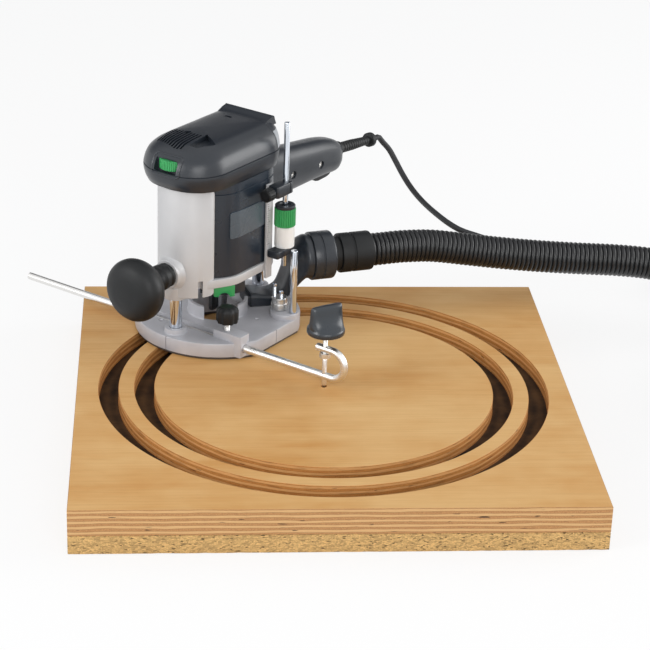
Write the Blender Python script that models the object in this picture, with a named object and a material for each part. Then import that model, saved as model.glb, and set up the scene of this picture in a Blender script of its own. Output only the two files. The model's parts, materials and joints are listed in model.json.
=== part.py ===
"""Router circle cutting jig.

A plunge router rides on a straight rod whose hooked end turns about a pin in the middle of a
plywood panel, so that the cutter sweeps a true circle. The panel carries two ring grooves that
the jig has cut. Metres, +Z up. The origin is under the backing board, right below the pin.
"""

import math

import bmesh
import bpy
from mathutils import Vector

# Clearances that every pair of neighbours shares
SEAT = 0.0003  # between two pieces that touch
RUN = 0.0004  # radial play of a piece that turns or slides in a hole
OVERRUN = 0.004  # how far a cutting tool passes the face that it opens

# Faces round a turned piece, by its size
MANY_SIDES = 64
SOME_SIDES = 24
FEW_SIDES = 16
ROD_SIDES = 12
CORNER_STEPS = 5
SHARP_ANGLE = math.radians(35.0)  # edges sharper than this stay crisp

# Board: backing, grooved panel and the two ring grooves
BOARD_SIDE = 0.500
BACKING_THICKNESS = 0.019
PANEL_THICKNESS = 0.0267
INNER_GROOVE_RADIUS = 0.182
OUTER_GROOVE_RADIUS = 0.218
GROOVE_WIDTH = 0.020
GROOVE_DEPTH = 0.015
PILOT_HOLE_DEPTH = 0.009

# Trammel rod, its hook and the pivot pin
SWING_AT_REST = math.radians(51.0)  # the router's knob-to-handle line against +X
ROD_RADIUS = 0.004
ROD_HEIGHT = 0.012
ROD_LENGTH = 0.400  # from the pin to the far end
ROD_OFFSET = 0.050  # from the rod sideways to the spindle
HOOK_BEND_RADIUS = 0.015
HOOK_PAST_PIN = 0.009
HOOK_TIP_PAST_PIN = 0.010
HOOK_BEND_STEPS = 9
PIN_RADIUS = 0.0025
PIN_TIP_DEPTH = 0.006
PIN_TIP_LENGTH = 0.009
PIN_INTO_KNOB = 0.014
PIVOT_KNOB_LIFT = 0.014  # between the hook and the knob
PIVOT_KNOB_RADIUS = 0.0193
PIVOT_KNOB_DISC = 0.007
PIVOT_KNOB_HEIGHT = 0.030
PIVOT_KNOB_TURN = math.radians(-25.0)
PIVOT_WING_HALF_WIDTH = 0.0185
PIVOT_WING_HALF_THICKNESS = 0.0045
PIVOT_WING_SHARES = (  # of the half width, of the half thickness and of the knob's height
    (1.0, 3.30, 0.27),
    (0.98, 2.10, 0.42),
    (0.96, 1.35, 0.62),
    (0.94, 1.0, 0.90),
    (0.88, 0.60, 1.0),
)
LOCK_NUT_RADIUS = 0.0058
LOCK_NUT_HEIGHT = 0.005

# Router base: casting, sole, rod clamp and turret boss
SOLE_THICKNESS = 0.002
SOLE_INSET = 0.0012
BASE_TOP = 0.0183
BASE_RADIUS = 0.0885
BASE_FLAT_CUT = 0.008  # what the flat edge that faces the pin takes off the radius
COLLAR_RADIUS = 0.032
COLLAR_WALL = 0.0035
COLLAR_TOP = 0.033
COLLAR_NOTCH_WIDTH = 0.036
COLLAR_WINDOW_WIDTH = 0.030
CHANNEL_HALF_WIDTH = 0.006
CHANNEL_FLOOR = 0.007
CLAMP_BOSS_HALF_WIDTH = 0.008
CLAMP_BOSS_FRONT = 0.064
CLAMP_BOSS_BACK = 0.038
CLAMP_BOSS_TOP = 0.027
CLAMP_SCREW_RADIUS = 0.003
CLAMP_KNOB_RADIUS = 0.0117
CLAMP_KNOB_HEIGHT = 0.0175
CLAMP_KNOB_LIFT = 0.009
CLAMP_KNOB_LOBES = 6
CLAMP_KNOB_LOBE_DEPTH = 0.0012

# Plunge columns and travel
COLUMN_RADIUS = 0.0065
COLUMN_X = 0.072
COLUMN_BOSS_RADIUS = 0.0117
COLUMN_BOSS_TOP = 0.024
COLUMN_SEAT_DEPTH = 0.014
PLUNGE_DOWN = 0.034
SPRING_WIRE_RADIUS = 0.0008
SPRING_TURNS = 5
SPRING_SOLID_LENGTH = 0.008

# Depth stop on the base: turret and stop post
TURRET_X = 0.033
TURRET_Y = -0.0575
TURRET_RADIUS = 0.0090
TURRET_HEIGHT = 0.0135
TURRET_BOSS_RADIUS = 0.0158
TURRET_BOSS_SHIFT = 0.0068
TURRET_SCREW_CIRCLE = 0.0055
TURRET_SCREW_RADIUS = 0.0024
TURRET_SCREW_HEAD = 0.0032
TURRET_SCREW_NECK_SHARE = 0.7
LONG_SCREW_HEIGHT = 0.015
SHORT_SCREW_HEIGHT = 0.009
POST_X = 0.0335
POST_Y = -0.0750
POST_RADIUS = 0.0038
POST_TOP = 0.0955

# Motor bracket: silver shell, sleeves, flange
SHELL_X = -0.048
SHELL_RADIUS = 0.034
SHELL_WALL = 0.0026
SHELL_SPREAD = math.radians(84.0)  # each way from straight left
SHELL_BOTTOM = 0.062
SHELL_TOP = 0.180
FLANGE_BOTTOM = 0.070
FLANGE_THICKNESS = 0.0095
FLANGE_OVERHANG = 0.0015
SLEEVE_RADIUS = 0.0095
SLEEVE_FOOT_RADIUS = 0.013
KNOB_BOSS_RADIUS = 0.0155
KNOB_BOSS_HEIGHT = 0.088
KNOB_BOSS_LENGTH = 0.005
LOCK_SCREW_RADIUS = 0.004

# Motor housing and what turns in it
HOUSING_CORNER_RADIUS = 0.034
HOUSING_CORNER_X = 0.022
HOUSING_CORNER_Y = 0.012
HOUSING_TOP = 0.182
MOTOR_BORE_RADIUS = 0.037
STATOR_WALL = 0.011
STATOR_LENGTH = 0.050
STATOR_BOTTOM = 0.098
ARMATURE_RADIUS = 0.024
ARMATURE_BOTTOM = 0.096
ARMATURE_LENGTH = 0.054
FAN_RADIUS = 0.032
FAN_BOTTOM = 0.156
FAN_THICKNESS = 0.009
FAN_BLADES = 12
FAN_BLADE_DEPTH = 0.010
SHAFT_RADIUS = 0.0045
SHAFT_TOP = 0.200
SHAFT_NOSE_RADIUS = 0.0077
SHAFT_NOSE_BOTTOM = 0.0585
BEARING_RADIUS = 0.011
BEARING_WIDTH = 0.007
BEARING_PLATE_THICKNESS = 0.008
NUT_BOTTOM = 0.044
NUT_HEIGHT = 0.0225
NUT_RADIUS = 0.0125
NUT_BORE_RADIUS = 0.0082
COLLET_LENGTH = 0.012
BIT_SHANK_RADIUS = 0.004
BIT_SIDE_CLEARANCE = 0.0003
BIT_TIP_CLEARANCE = 0.0004
BIT_CUTTING_LENGTH = 0.021
BIT_FLUTE_WIDTH = 0.006

# Label plate, bent round the housing's left corner
LABEL_CORNER_TURN = math.radians(26.0)
LABEL_RIGHT = 0.0175
LABEL_THICKNESS = 0.0008
LABEL_BOTTOM_SHARE = 0.415
LABEL_TOP_SHARE = 0.700

# Cap, rear cover and speed dial
CAP_BOTTOM = 0.1825
CAP_WALL = 0.0035
CAP_CAVITY_TOP = 0.214
CAP_HEIGHT = 0.0430
CAP_LEFT_REACH = 0.0915
CAP_RIGHT_REACH = 0.0570
CAP_HALF_WIDTH = 0.0485
CAP_LEVEL_SHARES = (0.0, 0.175, 0.420, 0.710, 0.885, 1.0)
CAP_LEFT_SHARES = (0.940, 0.985, 1.0, 0.945, 0.842, 0.716)
CAP_RIGHT_SHARES = (0.965, 0.985, 1.0, 1.0, 0.986, 0.947)
CAP_WIDTH_SHARES = (0.945, 0.985, 1.0, 0.932, 0.798, 0.639)
CAP_CORNER_SHARES = (0.837, 0.851, 0.845, 0.822, 0.779, 0.742)  # of the half width at that level
CAP_END_CORNER_SHARE = 0.65  # a corner by the handle, of one at the round end
REAR_COVER_START = 0.0365
REAR_COVER_PEAK = 0.0510
REAR_COVER_RISE = 0.0050
DIAL_X = -0.0740
DIAL_HEIGHT = 0.2075
DIAL_RADIUS = 0.0140
DIAL_THICKNESS = 0.0125
DIAL_WINDOW_WIDTH = 0.0250
DIAL_WINDOW_HEIGHT = 0.0175
DIAL_POCKET_DEPTH = 0.0065
DIAL_TEETH = 28
DIAL_TOOTH_DEPTH = 0.0007

# Handle, as sections at places along it
HANDLE_START = 0.0575
HANDLE_LENGTH = 0.1560
HANDLE_GRIP_BOTTOM = 0.1200
HANDLE_ROOT_DEPTH = 0.0615
HANDLE_ROOT_HALF_WIDTH = 0.0200
HANDLE_STATION_SHARES = (0.0, 0.080, 0.208, 0.407, 0.593, 0.798, 0.933, 1.0)
HANDLE_TOP_SHARES = (1.0, 0.976, 0.919, 0.837, 0.772, 0.691, 0.585, 0.455)
HANDLE_BOTTOM_SHARES = (0.065, 0.057, 0.033, 0.008, 0.008, 0.0, -0.016, 0.065)
HANDLE_WIDTH_SHARES = (1.0, 0.925, 0.850, 0.800, 0.800, 0.775, 0.725, 0.550)
HANDLE_WALL_SHARE = 0.80
HANDLE_SIDES = 20
HANDLE_CAVITY_END = 0.0060
HANDLE_SCREW_SHARES = (0.349, 0.689)  # of the handle's length
HANDLE_SCREW_LEVEL = 0.42  # of the handle's depth at that place
HANDLE_SCREW_RADIUS = 0.0022
HANDLE_SCREW_HEAD_RADIUS = 0.0040
HANDLE_SCREW_LENGTH = 0.0190
HANDLE_RECESS_DEPTH = 0.0015
TRIGGER_START = 0.1660
TRIGGER_LENGTH = 0.0320
TRIGGER_HALF_WIDTH = 0.0060
TRIGGER_DROP = 0.0050
TRIGGER_DROP_SHARES = (0.33, 1.0, 0.85, 0.33)  # of the drop, along the underside
TRIGGER_INSIDE = 0.0060
TRIGGER_TRAVEL = 0.0030
BOOT_LENGTH = 0.0740
BOOT_RADIUS = 0.0062
BOOT_END_RADIUS = 0.0046
BOOT_RING_RADIUS = 0.0082
BOOT_ROOT_SWELL = 1.35
BOOT_ROOT_SHARES = (0.08, 0.10)
BOOT_TAPER_SHARES = (0.40, 0.90)
BOOT_SLOPE = math.radians(-6.5)
BOOT_HEIGHT = 0.1400

# Ball knob that locks the plunge
BALL_KNOB_RADIUS = 0.033
BALL_KNOB_NECK_RADIUS = 0.0128
BALL_KNOB_LENGTH = 0.0680
BALL_KNOB_NECK_SHARES = (  # of the neck's radius and of the knob's length
    (1.0, 0.0),
    (1.0, 0.04),
    (0.90, 0.07),
    (1.06, 0.11),
    (1.06, 0.20),
    (0.92, 0.25),
    (1.10, 0.34),
)
BALL_KNOB_HEAD_SHARES = (  # of the knob's radius and of its length
    (0.66, 0.47),
    (0.90, 0.60),
    (1.0, 0.72),
    (1.0, 0.78),
    (0.93, 0.86),
    (0.78, 0.93),
    (0.48, 0.98),
)

# Depth stop on the motor: rail, rod, fine adjuster, clamp
RAIL_X = 0.0218
RAIL_HALF_WIDTH = 0.0050
RAIL_THICKNESS = 0.0030
RAIL_BOTTOM = 0.0620
RAIL_TOP = 0.1680
DEPTH_ROD_X = 0.0385
DEPTH_ROD_Y = -0.0580
DEPTH_ROD_RADIUS = 0.0030
DEPTH_ROD_TOP = 0.2330
DEPTH_ROD_CLEAR = 0.0005
SLEEVE_BLOCK_BOTTOM = 0.0873
WHITE_SLEEVE_BOTTOM = 0.0950
WHITE_SLEEVE_TOP = 0.1185
WHITE_SLEEVE_RADIUS = 0.0106
FINE_KNOB_HEIGHT = 0.0235
FINE_KNOB_RADIUS = 0.0114
FINE_KNOB_RIBS = 24
FINE_KNOB_RIB_DEPTH = 0.0007
ROD_HOLDER_BOTTOM = 0.1550
ROD_HOLDER_HEIGHT = 0.0130
DEPTH_CLAMP_RADIUS = 0.0070
DEPTH_CLAMP_LENGTH = 0.0110
DEPTH_CLAMP_NECK = 0.0035

# Spindle lock under the flange
LOCK_DIRECTION = math.radians(225.0)
LOCK_GUARD_RADIUS = 0.0400
LOCK_GUARD_WALL = 0.0035
LOCK_GUARD_SPREAD = math.radians(33.0)
LOCK_GUARD_BOTTOM = 0.0540
LOCK_BUTTON_HALF_WIDTH = 0.0110
LOCK_BUTTON_THICKNESS = 0.0045
LOCK_BUTTON_BOTTOM = 0.0550
LOCK_BUTTON_TOP = 0.0685
LOCK_TRAVEL = 0.0030
LOCK_PIN_RADIUS = 0.0022
LOCK_PIN_HEIGHT = 0.0640

# Dust port, from the base to the hose; distances run outward from the spindle
PORT_TURN = math.radians(-36.0)
DUCT_SHIFT = 0.008
DUCT_RISE_SHIFT_SHARE = 0.6
DUCT_START = 0.0350
DUCT_LOW_END = 0.0690
DUCT_RISE_END = 0.0840
DUCT_ROUND_START = 0.0940
DUCT_END = 0.1010
DUCT_LOW_TOP = 0.0345
DUCT_HALF_WIDTH = 0.0160
DUCT_CORNER = 0.0050
DUCT_WALL = 0.0022
PORT_HEIGHT = 0.0690
PORT_RADIUS = 0.0240
PORT_COLLAR_RADIUS = 0.0262
PORT_COLLAR_LENGTH = 0.0250
CUFF_RADIUS = 0.0215
CUFF_NECK_RADIUS = 0.0185
CUFF_NECK_LENGTH = 0.0075
CUFF_LENGTH = 0.0370

# Suction hose: outside, bore, ribs, and its coil
GAP_SKIP = 12  # points along a coil that count as the same stretch
HOSE_RADIUS = 0.0180
HOSE_VALLEY_SHARE = 0.86
HOSE_BORE_RADIUS = 0.0135
HOSE_BORE_SPACING_SHARE = 1.2  # of the radius, between the points of the bore's line
HOSE_RIBS = 76
HOSE_STRAIGHT_END = 0.0360
HOSE_COIL_X = 0.6280
HOSE_COIL_Y = 0.0080
HOSE_COIL_OUTER_RADIUS = 0.2160
HOSE_COIL_PITCH = 0.0366
HOSE_COIL_TURNS = 2.33
HOSE_COIL_LAYERS = 2
HOSE_COIL_POINTS = 24
HOSE_END_RADIUS = 0.0220
HOSE_END_LENGTH = 0.0750

# Mains cord, its coil and plug
CORD_RADIUS = 0.00325
CORD_POINT_DIAMETERS = 2.4  # between the points of the cord's line
CORD_COIL_X = 0.5000
CORD_COIL_Y = 0.3400
CORD_COIL_OUTER_RADIUS = 0.0530
CORD_COIL_PITCH = 0.0073
CORD_COIL_TURNS = 13.25
CORD_COIL_LAYERS = 4
CORD_COIL_POINTS = 16
PLUG_TAIL_LENGTH = 0.0450
PLUG_TAIL_POINTS = 4
PLUG_RADIUS = 0.0185
PLUG_BODY_LENGTH = 0.0340
PLUG_NECK_LENGTH = 0.0200
PLUG_PIN_RADIUS = 0.0024
PLUG_PIN_LENGTH = 0.0190
PLUG_PIN_SPACING = 0.0190

# The hose's route to its coil, after the straight bit that leaves its cuff
HOSE_ROUTE = (
    (0.1300, 0.2110, 0.1125),
    (0.1700, 0.2180, 0.1055),
    (0.2100, 0.2230, 0.0990),
    (0.2550, 0.2270, 0.0935),
    (0.3000, 0.2290, 0.0900),
    (0.3430, 0.2300, 0.0875),
    (0.3800, 0.2303, 0.0835),
    (0.4150, 0.2300, 0.0755),
    (0.4480, 0.2290, 0.0630),
    (0.4800, 0.2278, 0.0470),
    (0.5120, 0.2264, 0.0310),
)

# The mains cord's route from the handle's boot, along the back of the hose, to its coil
CORD_ROUTE = (
    (0.0905, 0.3850, 0.1700),
    (0.0990, 0.3870, 0.1600),
    (0.1065, 0.3810, 0.1480),
    (0.1135, 0.3690, 0.1370),
    (0.1205, 0.3520, 0.1290),
    (0.1280, 0.3310, 0.1240),
    (0.1360, 0.3080, 0.1215),
    (0.1450, 0.2850, 0.1200),
    (0.1555, 0.2640, 0.1180),
    (0.1680, 0.2500, 0.1150),
    (0.1840, 0.2450, 0.1110),
    (0.2040, 0.2455, 0.1050),
    (0.2400, 0.2492, 0.0985),
    (0.3000, 0.2520, 0.0910),
    (0.3430, 0.2528, 0.0880),
    (0.3740, 0.2532, 0.0840),
    (0.4000, 0.2545, 0.0750),
    (0.4200, 0.2590, 0.0590),
    (0.4360, 0.2660, 0.0410),
    (0.4500, 0.2740, 0.0230),
    (0.4620, 0.2830, 0.0100),
)

# Worked out from the sizes above
cap_levels = [CAP_BOTTOM + CAP_HEIGHT * share for share in CAP_LEVEL_SHARES]
cap_left = [-CAP_LEFT_REACH * share for share in CAP_LEFT_SHARES]
cap_right = [CAP_RIGHT_REACH * share for share in CAP_RIGHT_SHARES]
cap_half_widths = [CAP_HALF_WIDTH * share for share in CAP_WIDTH_SHARES]
cap_corners = [half * share for half, share in zip(cap_half_widths, CAP_CORNER_SHARES)]
handle_stations = [HANDLE_START + HANDLE_LENGTH * share for share in HANDLE_STATION_SHARES]
handle_tops = [HANDLE_GRIP_BOTTOM + HANDLE_ROOT_DEPTH * share for share in HANDLE_TOP_SHARES]
handle_bottoms = [HANDLE_GRIP_BOTTOM + HANDLE_ROOT_DEPTH * share for share in HANDLE_BOTTOM_SHARES]
handle_half_widths = [HANDLE_ROOT_HALF_WIDTH * share for share in HANDLE_WIDTH_SHARES]
handle_screw_stations = [HANDLE_START + HANDLE_LENGTH * share for share in HANDLE_SCREW_SHARES]
board_top = BACKING_THICKNESS + SEAT + PANEL_THICKNESS
rod_reach = math.sqrt(INNER_GROOVE_RADIUS**2 - ROD_OFFSET**2)
hook_top = ROD_HEIGHT + 2 * HOOK_BEND_RADIUS
casting_bottom = 2 * SEAT + SOLE_THICKNESS
flange_top = FLANGE_BOTTOM + FLANGE_THICKNESS
housing_bottom = flange_top + SEAT
sleeve_bottom = COLUMN_BOSS_TOP + PLUNGE_DOWN + SEAT
column_top = SHELL_TOP - PLUNGE_DOWN - SPRING_SOLID_LENGTH
column_hole_radius = COLUMN_RADIUS + RUN
housing_front = HOUSING_CORNER_Y + HOUSING_CORNER_RADIUS
rail_back = -(housing_front + FLANGE_OVERHANG + SEAT)
rail_front = rail_back - RAIL_THICKNESS
turret_top = COLUMN_BOSS_TOP + SEAT + TURRET_HEIGHT
depth_rod_bottom = turret_top + PLUNGE_DOWN + DEPTH_ROD_CLEAR
bit_radius = GROOVE_WIDTH / 2 - BIT_SIDE_CLEARANCE
bit_tip = PLUNGE_DOWN - GROOVE_DEPTH + BIT_TIP_CLEARANCE
cuff_start = DUCT_END + SEAT
cuff_end = cuff_start + PORT_COLLAR_LENGTH + SEAT + CUFF_NECK_LENGTH + CUFF_LENGTH


# Outlines


def arc(x, y, radius, start, end, steps):
    """Points along a circle's arc, both ends included."""
    turns = [start + (end - start) * i / steps for i in range(steps + 1)]
    return [(x + radius * math.cos(t), y + radius * math.sin(t)) for t in turns]


def circle(radius, sides, x=0.0, y=0.0):
    """A closed circle without a doubled point."""
    return arc(x, y, radius, 0.0, 2 * math.pi, sides)[:-1]


def hull(points):
    """The convex outline round some points, counter-clockwise."""
    ordered = sorted(set(points))
    halves = []
    for line in (ordered, ordered[::-1]):
        half = []
        for p in line:
            while len(half) > 1:
                (ax, ay), (bx, by) = half[-2], half[-1]
                if (bx - ax) * (p[1] - ay) - (by - ay) * (p[0] - ax) > 0:
                    break
                half.pop()
            half.append(p)
        halves += half[:-1]
    return halves


def round_circles(circles, sides=SOME_SIDES):
    """The outline of a belt laid round several circles, given as x, y and radius."""
    return hull([p for x, y, radius in circles for p in circle(radius, sides, x, y)])


def rounded_box(left, right, half_width, corner, steps=CORNER_STEPS, right_share=1.0):
    """A rounded rectangle that is symmetrical about the X axis. Its right corners may be smaller."""
    small = corner * right_share
    corners = (
        (right - small, half_width - small, small),
        (left + corner, half_width - corner, corner),
        (left + corner, corner - half_width, corner),
        (right - small, small - half_width, small),
    )
    quarter = math.pi / 2
    return [
        p
        for i, (x, y, radius) in enumerate(corners)
        for p in arc(x, y, radius, i * quarter, (i + 1) * quarter, steps)
    ]


def box_outline(left, right, front, back):
    """A plain rectangle."""
    return [(left, front), (right, front), (right, back), (left, back)]


def toothed(radius, depth, teeth):
    """A circle with straight-sided teeth, two points a tooth."""
    return [
        (r * math.cos(t), r * math.sin(t))
        for i in range(teeth)
        for r, t in (
            (radius, 2 * math.pi * i / teeth),
            (radius - depth, 2 * math.pi * (i + 1 / 2) / teeth),
        )
    ]


def lifted(outline, height):
    """An outline set at a height."""
    return [(x, y, height) for x, y in outline]


# Making objects


def material(name, colour, roughness, metallic=0.0):
    made = bpy.data.materials.new(name)
    made.use_nodes = True
    made.diffuse_color = (*colour, 1.0)
    shader = made.node_tree.nodes["Principled BSDF"]
    shader.inputs["Base Color"].default_value = (*colour, 1.0)
    shader.inputs["Roughness"].default_value = roughness
    shader.inputs["Metallic"].default_value = metallic
    return made


def frame(name, place=(0.0, 0.0, 0.0), turn=(0.0, 0.0, 0.0), parent=None):
    """An empty that pieces are placed in."""
    made = bpy.data.objects.new(name, None)
    made.location = place
    made.rotation_euler = turn
    made.parent = parent
    bpy.context.scene.collection.objects.link(made)
    return made


def piece(name, shape, finish, parent, place=(0.0, 0.0, 0.0), turn=(0.0, 0.0, 0.0)):
    """An object from a bmesh, with its faces pointing out."""
    bmesh.ops.recalc_face_normals(shape, faces=shape.faces)
    mesh = bpy.data.meshes.new(name)
    shape.to_mesh(mesh)
    shape.free()
    made = bpy.data.objects.new(name, mesh)
    made.location = place
    made.rotation_euler = turn
    made.parent = parent
    bpy.context.scene.collection.objects.link(made)
    if finish:
        mesh.materials.append(finish)
    mesh.shade_smooth()
    mesh.set_sharp_from_angle(angle=SHARP_ANGLE)
    return made


def tool(shape, parent, place=(0.0, 0.0, 0.0), turn=(0.0, 0.0, 0.0)):
    """A shape that only cuts or joins another."""
    made = piece("tool", shape, None, parent, place, turn)
    made.hide_render = True
    made.display_type = "WIRE"
    return made


def combine(target, operation, tools):
    for other in tools:
        step = target.modifiers.new(operation.lower(), "BOOLEAN")
        step.operation = operation
        step.solver = "EXACT"
        step.object = other
    return target


def cut(target, *tools):
    return combine(target, "DIFFERENCE", tools)


def join(target, *tools):
    return combine(target, "UNION", tools)


# Shapes


def loft(rings, closed=False):
    """A skin over rings of equal count, with flat ends unless it closes on itself."""
    shape = bmesh.new()
    rows = [[shape.verts.new(p) for p in ring] for ring in rings]
    pairs = list(zip(rows, rows[1:] + rows[:1])) if closed else list(zip(rows, rows[1:]))
    for low, high in pairs:
        count = len(low)
        for i in range(count):
            j = (i + 1) % count
            shape.faces.new((low[i], low[j], high[j], high[i]))
    if not closed:
        shape.faces.new(rows[0][::-1])
        shape.faces.new(rows[-1])
    return shape


def prism(outline, low, high):
    return loft([lifted(outline, low), lifted(outline, high)])


def turned(profile, sides, hollow=False):
    """A solid of revolution about Z from radius and height pairs. A hollow one closes on itself."""
    shape = bmesh.new()
    rows = []
    for radius, height in profile:
        if radius > 0:
            rows.append([shape.verts.new((x, y, height)) for x, y in circle(radius, sides)])
        else:
            rows.append([shape.verts.new((0.0, 0.0, height))])
    pairs = list(zip(rows, rows[1:]))
    if hollow:
        pairs.append((rows[-1], rows[0]))
    for low, high in pairs:
        for i in range(sides):
            j = (i + 1) % sides
            corners = [low[i % len(low)], low[j % len(low)], high[j % len(high)], high[i % len(high)]]
            shape.faces.new(list(dict.fromkeys(corners)))
    if not hollow:
        for row in (rows[0], rows[-1]):
            if len(row) > 2:
                shape.faces.new(row)
    return shape


def rod(radius, low, high, sides=FEW_SIDES):
    return turned(((radius, low), (radius, high)), sides)


def ring(outer, inner, low, high, sides=SOME_SIDES):
    return turned(((outer, low), (outer, high), (inner, high), (inner, low)), sides, hollow=True)


def hex_nut(name, radius, bore, low, high, finish, parent):
    """A six-sided nut with a round hole."""
    nut = piece(name, prism(circle(radius, 6), low, high), finish, parent)
    return cut(nut, tool(rod(bore, low - OVERRUN, high + OVERRUN), parent))


def swept(path, radius, sides):
    """A round bar along a path that lies in the YZ plane."""
    points = [Vector(p) for p in path]
    rings = []
    for i, p in enumerate(points):
        along = (points[min(i + 1, len(points) - 1)] - points[max(i - 1, 0)]).normalized()
        side = Vector((1.0, 0.0, 0.0))
        up = side.cross(along)
        rings.append([p + side * x + up * y for x, y in circle(radius, sides)])
    return loft(rings)


def smooth(route, spacing):
    """A smooth line through a route's points, with points about a spacing apart."""
    knots = [Vector(p) for p in route]
    dense = []
    for i in range(len(knots) - 1):
        before = knots[max(i - 1, 0)]
        start, end = knots[i], knots[i + 1]
        after = knots[min(i + 2, len(knots) - 1)]
        leave = (end - before) / 2 if i else (end - start)
        arrive = (after - start) / 2 if i + 2 < len(knots) else (end - start)
        count = max(2, math.ceil((end - start).length / spacing) * 4)
        for k in range(count):
            t = k / count
            dense.append(
                start * (2 * t**3 - 3 * t**2 + 1)
                + leave * (t**3 - 2 * t**2 + t)
                + end * (3 * t**2 - 2 * t**3)
                + arrive * (t**3 - t**2)
            )
    dense.append(knots[-1])
    return even(dense, spacing)


def even(line, spacing):
    """The same line with evenly spaced points."""
    lengths = [0.0]
    for a, b in zip(line, line[1:]):
        lengths.append(lengths[-1] + (b - a).length)
    count = max(2, round(lengths[-1] / spacing))
    result = []
    k = 0
    for i in range(count + 1):
        want = lengths[-1] * i / count
        while k < len(line) - 2 and lengths[k + 1] < want:
            k += 1
        share = (want - lengths[k]) / max(lengths[k + 1] - lengths[k], 1e-12)
        result.append(line[k].lerp(line[k + 1], share))
    return result


def line_length(line):
    return sum((b - a).length for a, b in zip(line, line[1:]))


def tube(name, line, radius, finish, resolution, shares=None):
    """A cord or hose as a curve with a round section and filled ends."""
    curve = bpy.data.curves.new(name, "CURVE")
    curve.dimensions = "3D"
    curve.bevel_depth = radius
    curve.bevel_resolution = resolution
    curve.use_fill_caps = True
    spline = curve.splines.new("POLY")
    spline.points.add(len(line) - 1)
    for i, p in enumerate(line):
        spline.points[i].co = (*p, 1.0)
        spline.points[i].radius = shares[i] if shares else 1.0
    curve.materials.append(finish)
    made = bpy.data.objects.new(name, curve)
    bpy.context.scene.collection.objects.link(made)
    return made


def as_mesh(name, curve_object, finish):
    """A curve's tube as a mesh object, so that it can be cut."""
    graph = bpy.context.evaluated_depsgraph_get()
    mesh = bpy.data.meshes.new_from_object(curve_object.evaluated_get(graph))
    bpy.data.objects.remove(curve_object, do_unlink=True)
    shape = bmesh.new()
    shape.from_mesh(mesh)
    bpy.data.meshes.remove(mesh)
    bmesh.ops.remove_doubles(shape, verts=shape.verts, dist=RUN / 10)
    return piece(name, shape, finish, None)


def coil(x, y, height, outer, pitch, turns, layers, points, start, direction):
    """The middle line of a coil that spirals in and out again, one layer upon another."""
    per_layer = turns / layers
    climb = 1 / 4
    line = []
    count = math.ceil(turns * points)
    for i in range(count + 1):
        done = turns * i / count
        layer = min(int(done / per_layer), layers - 1)
        within = done - layer * per_layer
        inward = within if layer % 2 == 0 else per_layer - within
        level = 0.0
        for border in range(1, layers):
            level += min(1.0, max(0.0, (done - border * per_layer + climb) / (2 * climb)))
        turn = start + direction * 2 * math.pi * done
        radius = outer - pitch * inward
        line.append(
            Vector((x + radius * math.cos(turn), y + radius * math.sin(turn), height + pitch * level))
        )
    return line


def least_gap(line, radius, skip):
    """The least air between two stretches of a tube, leaving out close neighbours on it."""
    fine = even(line, radius)
    near = math.inf
    for i, p in enumerate(fine):
        for q in fine[i + skip :]:
            near = min(near, (p - q).length)
    return near - 2 * radius


# The board


def make_board(finish):
    half = BOARD_SIDE / 2
    square = box_outline(-half, half, -half, half)
    board = frame("board")
    piece("backing_board", prism(square, 0.0, BACKING_THICKNESS), finish["chipboard"], board)
    panel = piece(
        "grooved_panel", prism(square, BACKING_THICKNESS + SEAT, board_top), finish["plywood"], board
    )
    floor = board_top - GROOVE_DEPTH
    for radius in (INNER_GROOVE_RADIUS, OUTER_GROOVE_RADIUS):
        wide = GROOVE_WIDTH / 2
        groove = ring(radius + wide, radius - wide, floor, board_top + OVERRUN, MANY_SIDES)
        cut(panel, tool(groove, board))
    pilot = rod(PIN_RADIUS + RUN, board_top - PILOT_HOLE_DEPTH, board_top + OVERRUN)
    cut(panel, tool(pilot, board))


# The trammel rod with its pivot


def make_trammel(trammel, finish):
    far = ROD_LENGTH
    start = -HOOK_PAST_PIN
    bend = [
        (0.0, start - HOOK_BEND_RADIUS * math.sin(t), ROD_HEIGHT + HOOK_BEND_RADIUS * (1 - math.cos(t)))
        for t in (math.pi * i / HOOK_BEND_STEPS for i in range(HOOK_BEND_STEPS + 1))
    ]
    path = [(0.0, far, ROD_HEIGHT), *bend, (0.0, HOOK_TIP_PAST_PIN, hook_top)]
    bar = piece("trammel_rod", swept(path, ROD_RADIUS, ROD_SIDES), finish["steel"], trammel)
    cut(bar, tool(rod(PIN_RADIUS + RUN, 0.0, hook_top + ROD_RADIUS + OVERRUN), trammel))
    top = hook_top + ROD_RADIUS
    knob_bottom = top + PIVOT_KNOB_LIFT
    pivot = frame("pivot_axis", turn=(0.0, 0.0, PIVOT_KNOB_TURN), parent=trammel)
    profile = (
        (0.0, -PIN_TIP_DEPTH),
        (PIN_RADIUS, PIN_TIP_LENGTH - PIN_TIP_DEPTH),
        (PIN_RADIUS, knob_bottom + PIN_INTO_KNOB),
        (0.0, knob_bottom + PIN_INTO_KNOB),
    )
    piece("pivot_pin", turned(profile, FEW_SIDES), finish["steel"], pivot)
    nut_top = hook_top - ROD_RADIUS - SEAT
    nut_bottom = nut_top - LOCK_NUT_HEIGHT
    hex_nut("pin_lock_nut", LOCK_NUT_RADIUS, PIN_RADIUS + SEAT, nut_bottom, nut_top, finish["steel"], pivot)
    make_pivot_knob(pivot, knob_bottom, finish)


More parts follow.
